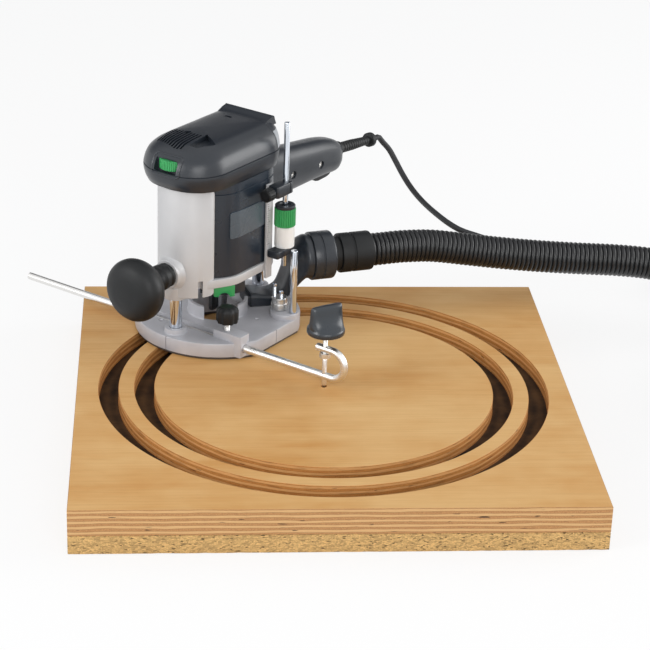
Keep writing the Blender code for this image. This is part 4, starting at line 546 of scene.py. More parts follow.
def smooth(route, spacing):
    """A smooth line through a route's points, with points about a spacing apart."""
    knots = [Vector(p) for p in route]
    dense = []
    for i in range(len(knots) - 1):
        before = knots[max(i - 1, 0)]
        start, end = knots[i], knots[i + 1]
        after = knots[min(i + 2, len(knots) - 1)]
        leave = (end - before) / 2 if i else (end - start)
        arrive = (after - start) / 2 if i + 2 < len(knots) else (end - start)
        count = max(2, math.ceil((end - start).length / spacing) * 4)
        dense += [curve_point(start, leave, end, arrive, k / count) for k in range(count)]
    dense.append(knots[-1])
    return even(dense, spacing)


def even(line, spacing):
    """The same line with evenly spaced points."""
    lengths = [0.0]
    for a, b in zip(line, line[1:]):
        lengths.append(lengths[-1] + (b - a).length)
    count = max(2, round(lengths[-1] / spacing))
    result = []
    k = 0
    for i in range(count + 1):
        want = lengths[-1] * i / count
        while k < len(line) - 2 and lengths[k + 1] < want:
            k += 1
        share = (want - lengths[k]) / max(lengths[k + 1] - lengths[k], 1e-12)
        result.append(line[k].lerp(line[k + 1], share))
    return result


def coil(centre, height, outer, pitch, turns, layers, points, start, direction):
    """The middle line of a coil that spirals in and out again, one layer upon another."""
    per_layer = turns / layers
    climb = 1 / 4
    line = []
    count = math.ceil(turns * points)
    for i in range(count + 1):
        done = turns * i / count
        layer = min(int(done / per_layer), layers - 1)
        within = done - layer * per_layer
        inward = within if layer % 2 == 0 else per_layer - within
        level = 0.0
        for border in range(1, layers):
            level += min(1.0, max(0.0, (done - border * per_layer + climb) / (2 * climb)))
        turn = start + direction * 2 * math.pi * done
        radius = outer - pitch * inward
        x, y = centre[0] + radius * math.cos(turn), centre[1] + radius * math.sin(turn)
        line.append(Vector((x, y, height + pitch * level)))
    return line


# Making objects


def solid(name, shape, place=ROUTER):
    """An object from a mesh in the making, put in its place."""
    bmesh.ops.recalc_face_normals(shape, faces=shape.faces)
    mesh = bpy.data.meshes.new(name)
    shape.to_mesh(mesh)
    shape.free()
    mesh.transform(place)
    made = bpy.data.objects.new(name, mesh)
    bpy.context.scene.collection.objects.link(made)
    return made


def settle(made):
    """Turns an object's modifiers into its mesh."""
    graph = bpy.context.evaluated_depsgraph_get()
    mesh = bpy.data.meshes.new_from_object(made.evaluated_get(graph))
    made.modifiers.clear()
    old = made.data
    made.data = mesh
    bpy.data.meshes.remove(old)
    return made


def combine(made, operation, others):
    for other in others:
        step = made.modifiers.new(operation.lower(), "BOOLEAN")
        step.operation = operation
        step.solver = "EXACT"
        step.object = other
    settle(made)
    for other in others:
        bpy.data.objects.remove(other, do_unlink=True)
    return made


def cut(made, *shapes, place=ROUTER):
    """Takes shapes away. A shape is a mesh in the making, or one with a place of its own."""
    return combine(made, "DIFFERENCE", [as_tool(shape, place) for shape in shapes])


def join(made, *shapes, place=ROUTER):
    return combine(made, "UNION", [as_tool(shape, place) for shape in shapes])


def as_tool(shape, place):
    if isinstance(shape, tuple):
        return solid("tool", shape[0], place @ shape[1])
    return solid("tool", shape, place)


def drilled(made, radius, low, high, place):
    """Takes a small bore away along the piece's own Z."""
    return cut(made, bar(radius, low, high, sides=SMALL), place=place)


def aimed(place, towards, axis="Z"):
    """A place whose axis points in a direction."""
    return Matrix.Translation(place) @ towards.to_track_quat(axis, "Y").to_matrix().to_4x4()


def about_z(turn):
    return Matrix.Rotation(turn, 4, "Z")


def at(x=0.0, y=0.0, z=0.0, turn=None):
    """A place, and where it matters a turn, as one matrix."""
    moved = Matrix.Translation((x, y, z))
    return moved @ turn if turn else moved


def gather(name, pieces):
    """One object from several, each with the material that it has."""
    shape = bmesh.new()
    finishes = []
    for other in pieces:
        known = len(shape.faces)
        shape.from_mesh(other.data)
        shape.faces.ensure_lookup_table()
        for face in shape.faces[known:]:
            face.material_index += len(finishes)
        finishes += list(other.data.materials)
        bpy.data.objects.remove(other, do_unlink=True)
    mesh = bpy.data.meshes.new(name)
    shape.to_mesh(mesh)
    shape.free()
    for finish in finishes:
        mesh.materials.append(finish)
    made = bpy.data.objects.new(name, mesh)
    bpy.context.scene.collection.objects.link(made)
    return made


def coated(made, look):
    made.data.materials.append(material(look))
    return made


def dress(made, body, look, *nodes, angle=38.0):
    """Finishes a piece: its material and shading, its body, and the nodes that it stands for."""
    if not made.data.materials:
        coated(made, look)
    made.data.shade_smooth()
    made.data.set_sharp_from_angle(angle=math.radians(angle))
    if body:
        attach(made, body)
    if nodes:
        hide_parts(*nodes)
    return made


# Materials


def add(tree, kind, inputs=(), out=0, stops=(), **settings):
    """Adds a node with its settings, its inputs as values or links, and a ramp's stops. Gives an output."""
    made = tree.nodes.new("ShaderNode" + kind)
    for name, value in settings.items():
        setattr(made, name, value)
    for key, given in inputs.items() if isinstance(inputs, dict) else enumerate(inputs):
        socket = made.inputs[key]
        if isinstance(given, bpy.types.NodeSocket):
            tree.links.new(given, socket)
        else:
            socket.default_value = (*given[:3], 1.0) if socket.type == "RGBA" else given
    for i, (place, colour) in enumerate(stops):
        ramp = made.color_ramp.elements
        stop = ramp[i] if i < len(ramp) else ramp.new(place)
        stop.position = place
        stop.color = (*colour, 1.0)
    return made.outputs[out] if made.outputs else None


def blank(name, colour, roughness, metallic=0.0, ior=1.5):
    """A material with its shader, whose even values stand on the shader's own sockets."""
    made = bpy.data.materials.new(name)
    made.use_nodes = True
    made.diffuse_color = (*colour, 1.0)
    shader = made.node_tree.nodes["Principled BSDF"]
    values = {"Base Color": (*colour, 1.0), "Roughness": roughness, "Metallic": metallic, "IOR": ior}
    for socket, value in values.items():
        shader.inputs[socket].default_value = value
    return made, made.node_tree, shader


def clouds(tree, *patterns, turn=0.0, shift=(0.0, 0.0, 0.0)):
    """Cloudy patterns in the piece's own coordinates, each given its real size along X, Y and Z."""
    where = add(tree, "TexCoord", out="Object")
    made = []
    for size, detail in patterns:
        placed = {"Vector": where, "Location": shift, "Rotation": (0.0, 0.0, turn), "Scale": size}
        vector = add(tree, "Mapping", placed, vector_type="TEXTURE")
        noise = {"Vector": vector, "Scale": 1.0, "Detail": detail, "Roughness": 0.6}
        made.append(add(tree, "TexNoise", noise))
    return made


def finish(tree, shader, height, depth, **links):
    """Links patterns to the shader, with a height pattern that is so many metres deep."""
    links["Normal"] = add(tree, "Bump", {"Height": height, "Distance": depth})
    for socket, source in links.items():
        tree.links.new(source, shader.inputs[socket.replace("_", " ")])


def layered(tree, under, *layers):
    """Colours laid over one another. Each shows where its pattern goes from low to high, up to a share."""
    for pattern, low, high, most, over in layers:
        share = add(tree, "MapRange", (pattern, low, high, 0.0, most))
        under = add(tree, "Mix", {0: share, 6: under, 7: over}, 2, data_type="RGBA")
    return under


def shade(colour, share):
    """A colour made darker or lighter."""
    return tuple(min(1.0, c * share) for c in colour)


def birch_veneer():
    """Rotary-cut birch, sanded and oiled: soft figure along X, short dark pores, a low sheen."""
    look = board()
    made, tree, shader = blank("birch_veneer", look.veneer, 0.50)
    figure, streaks, pores, patches = clouds(
        tree,
        ((0.240, 0.030, 0.030), 4.0),
        ((0.090, 0.0024, 0.0024), 5.0),
        ((0.008, 0.0006, 0.0006), 2.0),
        ((0.130, 0.090, 0.090), 3.0),
    )
    flecked = layered(
        tree,
        look.veneer,
        (figure, 0.36, 0.68, 0.50, look.veneer_pale),
        (patches, 0.40, 0.62, 0.55, look.veneer_pale),
        (streaks, 0.46, 0.74, 0.16, shade(look.veneer, 0.62)),
        (pores, 0.64, 0.76, 0.22, shade(look.veneer, 0.35)),
    )
    rough = add(tree, "MapRange", (streaks, 0.3, 0.7, 0.42, 0.60))
    finish(tree, shader, pores, 0.00006, Base_Color=flecked, Roughness=rough)
    return made


def plies(tree, look):
    """Colour and height of plywood's edge: plies by height, glue lines between, and open faults painted dark
    as the shade inside them.
    """
    height = add(tree, "SeparateXYZ", (add(tree, "TexCoord", out="Object"),), "Z")
    wander, fibres, grain = clouds(
        tree, ((0.060, 0.060, 0.009), 2.0), ((0.014, 0.014, 0.00045), 4.0), ((0.0011, 0.0011, 0.0008), 3.0)
    )
    (faults,) = clouds(tree, ((0.017, 0.017, 0.0017), 1.0), shift=(0.31, 0.17, 0.0))
    drift = add(tree, "MapRange", (wander, 0.0, 1.0, -0.0016, 0.0016))
    waved = add(tree, "Math", (height, drift), operation="ADD")
    count = add(tree, "Math", (waved, look.ply_thickness), operation="DIVIDE")
    whole = add(tree, "Math", (count,), operation="FLOOR")
    parity = add(tree, "Math", (add(tree, "Math", (whole, 0.5), operation="MULTIPLY"),), operation="FRACT")
    turned_ply = add(tree, "Math", (parity, 0.25), operation="GREATER_THAN")
    along = layered(tree, look.long_grain, (fibres, 0.38, 0.70, 0.55, look.end_grain))
    across = layered(tree, look.end_grain, (grain, 0.36, 0.70, 0.60, look.glue))
    both = add(tree, "Mix", {0: turned_ply, 6: along, 7: across}, 2, data_type="RGBA")
    within = add(tree, "Math", (add(tree, "Math", (count,), operation="FRACT"), 0.5), operation="SUBTRACT")
    border = add(tree, "Math", (within,), operation="ABSOLUTE")
    glued = layered(tree, both, (border, 0.40, 0.475, 0.65, look.glue))
    # Voids in the plies take the dark scorch colour: painted shade inside each hole.
    hole = add(tree, "MapRange", (faults, 0.735, 0.775))
    colour = add(tree, "Mix", {0: hole, 6: glued, 7: look.scorch_and_shade}, 2, data_type="RGBA")
    return colour, add(tree, "Math", (grain, hole), operation="SUBTRACT")


def birch_plywood_edge():
    """Sawn plywood: light plies along the grain and dark ones across it, matt."""
    look = board()
    made, tree, shader = blank("birch_plywood_edge", look.long_grain, 0.72)
    colour, height = plies(tree, look)
    finish(tree, shader, height, 0.00025, Base_Color=colour)
    return made


def routed_plywood_wall():
    """The same plies where the cutter has run: clean and warm, with scorched streaks."""
    look = board()
    made, tree, shader = blank("routed_plywood_wall", look.end_grain, 0.66)
    colour, height = plies(tree, look)
    (burnt,) = clouds(tree, ((0.022, 0.022, 0.0024), 4.0), shift=(0.7, 0.2, 0.0))
    crisp = add(tree, "BrightContrast", {"Color": colour, "Bright": 0.10, "Contrast": 0.30})
    toasted = add(tree, "Mix", {0: 0.22, 6: crisp, 7: linear("#c4703e")}, 2, data_type="RGBA")
    scorched = layered(tree, toasted, (burnt, 0.52, 0.76, 0.45, look.scorch_and_shade))
    finish(tree, shader, height, 0.00020, Base_Color=scorched)
    return made


def routed_plywood_floor():
    """A groove's floor: scorched brown darkened further as painted shade of the deep groove, with the arcs
    that the cutter leaves every 2 mm.
    """
    look = board()
    # The floor's near-black colour is partly real burn and partly painted shade of the groove.
    made, tree, shader = blank("routed_plywood_floor", look.scorch_and_shade, 0.80, ior=1.35)
    patches, fibres = clouds(tree, ((0.034, 0.034, 1.0), 4.0), ((0.020, 0.0008, 1.0), 3.0))
    spacing = 0.002
    waves = {
        "Vector": add(tree, "TexCoord", out="Object"),
        "Scale": 1 / spacing / 20,
        "Distortion": 1.2,
        "Detail": 2.0,
    }
    arcs = add(tree, "TexWave", waves, "Fac", wave_type="RINGS", rings_direction="Z")
    lined = layered(
        tree,
        shade(look.end_grain, 0.13),
        (patches, 0.38, 0.66, 1.0, shade(look.scorch_and_shade, 0.6)),
        (fibres, 0.45, 0.75, 0.5, look.scorch_and_shade),
    )
    share = add(tree, "Math", (arcs, 0.07), operation="MULTIPLY")
    ringed = add(tree, "Mix", {0: share, 6: lined, 7: look.end_grain}, 2, data_type="RGBA")
    finish(tree, shader, arcs, 0.00015, Base_Color=ringed)
    return made


def pressed_chipboard():
    """Pressed wood chips a few millimetres long, cut open at the edge: crumbly and matt."""
    look = board()
    made, tree, shader = blank("pressed_chipboard", look.chip, 0.9)
    fine, lumps = clouds(tree, ((0.0009, 0.0009, 0.0009), 2.0), ((0.012, 0.012, 0.006), 2.0))
    where = add(tree, "TexCoord", out="Object")
    stretch = (look.chip_length, look.chip_length, look.chip_length * 0.45)
    placed = add(tree, "Mapping", {"Vector": where, "Scale": stretch}, vector_type="TEXTURE")
    tone = add(tree, "SeparateColor", (add(tree, "TexVoronoi", {"Vector": placed, "Scale": 1.0}, "Color"),))
    gap = add(tree, "TexVoronoi", {"Vector": placed, "Scale": 1.0}, feature="DISTANCE_TO_EDGE")
    dark, brown, pale = (shade(look.chip, share) for share in (0.20, 0.68, 1.28))
    stops = ((0.0, dark), (0.03, dark), (0.07, brown), (0.40, tuple(look.chip)), (0.80, pale))
    chips = add(tree, "ValToRGB", (tone,), stops=stops)
    share = add(tree, "MapRange", (gap, 0.0, 0.10, 0.55, 0.0))
    parted = add(tree, "Mix", {0: share, 6: chips, 7: brown}, 2, data_type="RGBA")
    specked = layered(tree, parted, (lumps, 0.40, 0.70, 0.35, brown), (fine, 0.64, 0.74, 0.50, dark))
    finish(tree, shader, add(tree, "Math", (tone, fine), operation="SUBTRACT"), 0.0005, Base_Color=specked)
    return made


def drawn(name, colour, roughness):
    """A bright metal bar with fine lines along its length and faint smears."""
    made, tree, shader = blank(name, colour, roughness, 1.0)
    lines, smears = clouds(tree, ((0.00035, 0.060, 0.00035), 3.0), ((0.016, 0.016, 0.016), 3.0), turn=swing)
    low = add(tree, "MapRange", (lines, 0.35, 0.70, roughness * 0.7, roughness * 1.2))
    more = add(tree, "MapRange", (smears, 0.40, 0.80, 0.0, roughness * 0.5))
    finish(tree, shader, lines, 0.000012, Roughness=add(tree, "Math", (low, more), operation="ADD"))
    return made


def drawn_steel():
    """Drawn and polished mild steel: mirror-like, with faint lines along the bar."""
    return drawn("drawn_steel", trammel().steel, 0.30)


def hard_chrome():
    """Hard-chromed and ground: a clean cool mirror with hardly any haze."""
    return drawn("hard_chrome", router().chrome, 0.10)


def skin(name, colour, roughness, grain, depth, metallic=0.0, blotch=0.10, ior=1.5):
    """A painted or moulded skin: an even colour, a fine texture and a little handling."""
    made, tree, shader = blank(name, colour, roughness, metallic, ior)
    fine, cloud = clouds(tree, ((grain, grain, grain), 2.0), ((0.045, 0.045, 0.045), 3.0))
    toned = layered(tree, shade(colour, 1 - blotch), (cloud, 0.35, 0.68, 1.0, shade(colour, 1 + blotch)))
    rough = add(tree, "MapRange", (cloud, 0.35, 0.68, roughness * 1.12, roughness * 0.9))
    finish(tree, shader, fine, depth, Base_Color=toned, Roughness=rough)
    return made


def painted_casting():
    """Sand-cast aluminium under silver paint: satin, with a faint orange-peel skin."""
    return skin("painted_casting", router().casting, 0.36, 0.0009, 0.00005, metallic=0.10)


def silver_coat():
    """Die-cast aluminium under a smooth silver coat: pale, even and softly shiny."""
    return skin("silver_coat", router().shell, 0.38, 0.0006, 0.00002, metallic=0.15, blotch=0.03)


def moulded_abs():
    """Spark-eroded ABS: charcoal with a fine grain that spreads the highlights."""
    return skin("moulded_abs", router().cap, 0.31, 0.0005, 0.00004, ior=1.54, blotch=0.06)


def smooth_abs():
    """Polished ABS of the motor housing: dark blue-grey, with clear highlights."""
    return skin("smooth_abs", router().housing, 0.28, 0.0006, 0.00001, ior=1.54, blotch=0.05)


def painted_highlight_abs():
    """Pale grey ABS of the rear cover's side panels: a painted highlight that stands for the lamps'
    reflection on that sloped face.
    """
    return skin("painted_highlight_abs", linear("#a3a7ab"), 0.40, 0.0005, 0.00003, ior=1.54, blotch=0.03)


def soft_rubber():
    """Nitrile and soft PVC mouldings: near black, matt, with a dusty bloom."""
    return skin("soft_rubber", router().grip, 0.50, 0.0007, 0.00004, blotch=0.15, ior=1.42)


def wing_phenolic():
    """Pressed phenolic of the wing knob: blue-black with a satin skin."""
    return skin("wing_phenolic", trammel().wing, 0.28, 0.0008, 0.00003, ior=1.6, blotch=0.08)


def paper_phenolic():
    """Paper and resin sheet of the sole: brown-black, nearly matt."""
    return skin("paper_phenolic", linear("#3a3430"), 0.5, 0.0012, 0.00003, ior=1.6)


def ribbed_plastic():
    """Antistatic polyethylene of the ribbed hose: black with a greasy sheen."""
    return skin("ribbed_plastic", hose().hose, 0.36, 0.0015, 0.00003, blotch=0.2)


def cord_sheath():
    """Rubber sheath of the mains cord: dark grey and matt."""
    return skin("cord_sheath", hose().cord, 0.55, 0.0006, 0.00003, blotch=0.15)


def green_nylon():
    """Dyed nylon, moulded: bright green, half gloss."""
    return skin("green_nylon", router().green, 0.38, 0.0005, 0.00002, ior=1.53, blotch=0.07)


def white_acetal():
    """Turned acetal: white and waxy."""
    return skin("white_acetal", router().white, 0.40, 0.0005, 0.00001, ior=1.48, blotch=0.02)


def label_film():
    """Polyester film on the housing, left bare: dark with a soft gloss."""
    return skin("label_film", linear("#48535c"), 0.26, 0.0004, 0.000005, ior=1.57, blotch=0.03)


def shade_and_print_black():
    """Flat black: painted shade on the sheet under the cap's vents, and the printed ticks of the depth scale.
    """
    return skin("shade_and_print_black", linear("#0b0c0d"), 0.7, 0.0008, 0.00002)


def tooled(name, colour, size, low, high, depth):
    """Bare metal with the fine lines of a tool round it."""
    made, tree, shader = blank(name, colour, (low + high) / 2, 1.0)
    (lines,) = clouds(tree, (size, 2.0))
    finish(tree, shader, lines, depth, Roughness=add(tree, "MapRange", (lines, 0.3, 0.7, low, high)))
    return made


def machined_aluminium():
    """Turned and milled aluminium of the turret: bright, with lines 0.3 mm apart."""
    return tooled("machined_aluminium", linear("#c9c9c8"), (0.014, 0.014, 0.0003), 0.22, 0.40, 0.00002)


def ground_carbide():
    """Carbide and tool steel of the cutter: grey, finely ground."""
    return tooled("ground_carbide", linear("#85888c"), (0.006, 0.006, 0.0002), 0.24, 0.42, 0.00001)


def copper_winding():
    """Enamelled copper wire on steel laminations: dark orange-brown, wound along Z."""
    made, tree, shader = blank("copper_winding", linear("#8d4a26"), 0.34, 0.9)
    (wires,) = clouds(tree, ((0.0008, 0.0008, 0.030), 2.0))
    lit = layered(tree, linear("#4a2716"), (wires, 0.40, 0.60, 1.0, linear("#a85c30")))
    finish(tree, shader, wires, 0.0003, Base_Color=lit)
    return made


# The finishes under the record's material slots that they stand for
SLOT_LOOKS = {
    "birch_plywood": (birch_veneer, birch_plywood_edge, routed_plywood_wall, routed_plywood_floor),
    "chipboard": (pressed_chipboard,),
    "bright_steel": (drawn_steel,),
    "chromed_steel": (hard_chrome,),
    "cast_aluminium": (painted_casting, machined_aluminium),
    "painted_aluminium": (silver_coat,),
    "black_abs": (moulded_abs, smooth_abs, painted_highlight_abs, shade_and_print_black),
    "black_rubber": (soft_rubber, wing_phenolic),
    "phenolic_sheet": (paper_phenolic,),
    "hose_plastic": (ribbed_plastic,),
    "cord_rubber": (cord_sheath,),
    "green_plastic": (green_nylon,),
    "white_plastic": (white_acetal,),
    "wound_copper": (copper_winding,),
    "carbide_steel": (ground_carbide,),
    "label_plastic": (label_film,),
}
LOOKS = {maker.__name__: maker for makers in SLOT_LOOKS.values() for maker in makers}


def material(name):
    """The material of that name, made when it is first asked for."""
    return bpy.data.materials.get(name) or LOOKS[name]()


# Stage and camera


class JIG_OT_stage(bpy.types.Operator):
    """Makes the floor, the lamps, the surrounding light and the camera"""

    bl_idname = "jig.stage"
    bl_label = "Stage"

    def execute(self, context):
        self.camera(context)
        self.world(context)
        self.floor()
        self.lamp("key_lamp", (-2.2, -1.0, 1.25), 1.2, stage().key)
        self.lamp("front_lamp", (0.2, -2.4, 1.2), 1.4, stage().key)
        self.lamp("fill_lamp", (2.1, 0.35, 0.75), 1.4, stage().fill)
        context.scene.view_settings.view_transform = "Standard"
        return {"FINISHED"}

    def camera(self, context):
        yaw, pitch = CAMERA_YAW, CAMERA_PITCH
        forward = Vector((math.sin(yaw) * math.cos(pitch), math.cos(yaw) * math.cos(pitch), -math.sin(pitch)))
        level = Vector((math.cos(yaw), -math.sin(yaw), 0.0))
        up = level.cross(forward)
        c, s = math.cos(CAMERA_ROLL), math.sin(CAMERA_ROLL)
        axes = Matrix((level * c + up * s, up * c - level * s, -forward)).transposed()
        lens = bpy.data.cameras.new("camera")
        lens.lens = stage().lens
        lens.sensor_width = 36.0
        lens.clip_end = 30.0
        made = bpy.data.objects.new("camera", lens)
        made.matrix_world = Matrix.Translation(CAMERA_PLACE) @ axes.to_4x4()
        context.scene.collection.objects.link(made)
        context.scene.camera = made

    def world(self, context):
        """White to the eye and in reflections, where only the part behind the jig, above it, is dark."""
        made = bpy.data.worlds.new("studio")
        made.use_nodes = True
        tree = made.node_tree
        tree.nodes.clear()
        direction = add(tree, "TexCoord", out="Generated")
        high = add(tree, "MapRange", (add(tree, "SeparateXYZ", (direction,), "Z"), 0.10, 0.30))
        behind = add(tree, "MapRange", (add(tree, "SeparateXYZ", (direction,), "Y"), 0.45, 0.75))
        dark = add(tree, "Math", (high, behind), operation="MULTIPLY")
        mirrored = add(tree, "Mix", {0: dark, 6: WHITE, 7: (0.10, 0.10, 0.11)}, 2, data_type="RGBA")
        glossy = add(tree, "Background", (mirrored, 1.0))
        plain = add(tree, "Background", (WHITE, 1.0))
        soft = add(tree, "Background", ((0.97, 0.98, 1.0), stage().sky))
        rays = ("Is Glossy Ray", "Is Transmission Ray", "Is Camera Ray")
        mirror_ray, clear_ray, camera_ray = (add(tree, "LightPath", out=name) for name in rays)
        bent = add(tree, "Math", (mirror_ray, clear_ray), operation="MAXIMUM")
        seen = add(tree, "MixShader", (camera_ray, add(tree, "MixShader", (bent, soft, glossy)), plain))
        add(tree, "OutputWorld", {"Surface": seen})
        context.scene.world = made

    def floor(self):
        """A wide white sweep that keeps a light shadow."""
        made = solid("floor", prism(circle(6.0, 64), -0.02, 0.0), Matrix())
        coat, tree, shader = blank("white_floor", stage().floor, 0.9)
        glow = add(tree, "Emission", (WHITE, 1.0))
        rays = ("Is Glossy Ray", "Is Camera Ray")
        mirror_ray, camera_ray = (add(tree, "LightPath", out=name) for name in rays)
        bent = add(tree, "Math", (mirror_ray, camera_ray), operation="MAXIMUM")
        share = add(tree, "Math", (bent, 0.80), operation="MULTIPLY")
        mix = add(tree, "MixShader", (share, shader.outputs[0], glow))
        tree.links.new(mix, tree.nodes["Material Output"].inputs["Surface"])
        made.data.materials.append(coat)

    def lamp(self, name, place, width, power):
        lamp = bpy.data.lights.new(name, "AREA")
        lamp.shape = "SQUARE"
        lamp.size = width
        lamp.energy = power
        made = bpy.data.objects.new(name, lamp)
        made.matrix_world = aimed(place, Vector((0.0, 0.05, 0.08)) - Vector(place), "-Z")
        bpy.context.scene.collection.objects.link(made)


# Hose and cord


def port_point(distance):
    return ROUTER @ Vector((distance * math.cos(PORT_TURN), distance * math.sin(PORT_TURN), PORT_HEIGHT))


def boot_point(distance):
    """A place on the cord boot's axis, that far past its root."""
    x = BOOT_START + distance * math.cos(BOOT_SLOPE)
    return ROUTER @ Vector((x, 0.0, BOOT_HEIGHT + distance * math.sin(BOOT_SLOPE)))


def run_up(line, length):
    """Points of a straight run that ends where a line starts."""
    along = (line[1] - line[0]).normalized()
    return [line[0] - along * (length * share) for share in (1, 1 / 2, 0)]


def lead_in(line, radius):
    return line[0] + Vector((-2 * radius, 0.0, 0.0))


def hose_coil_line(points):
    line = coil(HOSE_COIL, HOSE_RADIUS, HOSE_COIL_RADIUS, 0.0366, HOSE_COIL_TURNS, 2, points, math.pi / 2, -1)
    lift = HOSE_END_RADIUS - HOSE_RADIUS + SEAT
    last = points // 4
    for i in range(last):
        share = (i + 1) / last
        eased = lift * share * share * (3 - 2 * share)
        point = line[len(line) - last + i]
        outward = Vector((point.x - HOSE_COIL[0], point.y - HOSE_COIL[1], 0.0)).normalized()
        point += outward * eased + Vector((0.0, 0.0, eased))
    return [lead_in(line, HOSE_RADIUS), *line]


def cord_coil_line(points):
    line = coil(CORD_COIL, CORD_RADIUS, CORD_COIL_RADIUS, 0.0073, CORD_COIL_TURNS, 4, points, -math.pi / 2, 1)
    heading = (line[-1] - line[-2]).normalized()
    end = line[-1]
    drop = Vector((0.0, 0.0, PLUG_RADIUS + SEAT - end.z))
    shares = [(i + 1) / 12 for i in range(12)]
    tail = [end + heading * (0.045 * share) + drop * (share * share * (3 - 2 * share)) for share in shares]
    return [lead_in(line, CORD_RADIUS), *line, *tail]


class JIG_OT_hose(bpy.types.Operator):
    """Makes the ribbed suction hose and the cuff on its far end"""

    bl_idname = "jig.hose"
    bl_label = "Suction hose"

    def execute(self, context):
        straight = 0.036
        leave = CUFF_END + SEAT
        start = [port_point(leave + straight * share) for share in (0, 1 / 2, 1)]
        turns = hose_coil_line(72)
        free = smooth((*start, *HOSE_ROUTE, *run_up(turns, straight)), HOSE_RADIUS / 2)
        path = [*free, *turns[1:]]
        steps = 4
        pitch = hose().rib_pitch
        line = even(path, pitch / steps)
        depth = hose().rib_depth
        profile = (0.0, depth * 0.16, depth, depth * 0.16)
        radii = [HOSE_RADIUS - profile[i % steps] for i in range(len(line))]
        made = solid("ribbed_hose", loft(sweep(line, radii, 28)), Matrix())
        dress(made, "base", "ribbed_plastic", "suction_hose", "suction_hose_coil", angle=70.0)
        end = self.end_cuff(turns)
        return {"FINISHED"}

    def end_cuff(self, turns):
        """A stepped rubber cuff with grip rings."""
        big, length = HOSE_END_RADIUS, 0.075
        edge = big / 12
        narrow = big - edge
        profile = [(narrow, SEAT), (big, SEAT + edge)]
        for i in range(4):
            z = SEAT + edge + 0.0035 + i * 0.0048
            valley = big - 0.0009
            profile += [(big, z), (valley, z + 0.0008), (valley, z + 0.0020), (big, z + 0.0028)]
        profile += [
            (big, length / 3),
            (narrow, length / 3 + edge),
            (narrow - edge, length - 0.001),
            (narrow - edge - 0.001, length),
            (HOSE_BORE + 0.001, length),
            (HOSE_BORE, length - 0.001),
            (HOSE_BORE, SEAT),
        ]
        place = aimed(turns[-1], turns[-1] - turns[-2])
        made = solid("hose_end", turned(profile, 64, hollow=True), place)
        return dress(made, "base", "soft_rubber", "hose_end_cuff")


class JIG_OT_cord(bpy.types.Operator):
    """Makes the mains cord and its plug"""

    bl_idname = "jig.cord"
    bl_label = "Mains cord"

    def execute(self, context):
        straight = 0.0156
        start = [boot_point(BOOT_LENGTH + straight * share) for share in (0, 1 / 2, 1)]
        turns = cord_coil_line(48)
        free = smooth((*start, *CORD_ROUTE, *run_up(turns, straight)), CORD_RADIUS)
        path = [*free, *turns[1:]]
        line = even(path, 0.0042)
        made = solid("mains_lead", loft(sweep(line, [CORD_RADIUS] * len(line), 12)), Matrix())
        dress(made, None, "cord_sheath", "mains_cord", "mains_cord_coil", angle=70.0)
        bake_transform(made)
        plug = self.plug(turns)
        return {"FINISHED"}

    def plug(self, turns):
        """A moulded two-pin plug with a grip and a ribbed neck."""
        towards = turns[-1] - turns[-2]
        towards.z = 0.0
        place = aimed(turns[-1], towards)
        neck, body = 0.020, 0.054
        profile = [(0.0, SEAT), (0.0048, SEAT)]
        for i in range(5):
            z = 0.0015 + i * 0.0032
            wide = 0.0052 + i * 0.0009
            rib, valley = wide + 0.0008, wide - 0.0004
            profile += [(rib, z), (rib, z + 0.0016), (valley, z + 0.0020), (valley, z + 0.0030)]
        full = PLUG_RADIUS
        profile += [(full - 0.0030, neck - 0.0006), (full - 0.0009, neck + 0.0006), (full, neck + 0.0025)]
        for i in range(4):
            z = neck + 0.0060 + i * 0.0045
            valley = full - 0.0008
            profile += [(full, z), (valley, z + 0.0007), (valley, z + 0.0015), (full, z + 0.0022)]
        profile += [(full, body - 0.002), (full - 0.002, body), (0.0, body)]
        grip = coated(solid("grip", turned(profile, MIDDLE), place), "soft_rubber")
        root, shoulder, end, half = body - 0.004, body + 0.0175, body + 0.019, 0.0095
        pin_profile = ((0.0, root), (0.0024, root), (0.0024, shoulder), (0.0015, end), (0.0, end))
        pins = []
        for y in (-half, half):
            pin = solid("pin", turned(pin_profile, SMALL), place @ at(0.0, y))
            pins.append(coated(pin, "hard_chrome"))
        return dress(gather("two_pin_plug", [grip, *pins]), "base", "soft_rubber", "mains_plug")


# Board


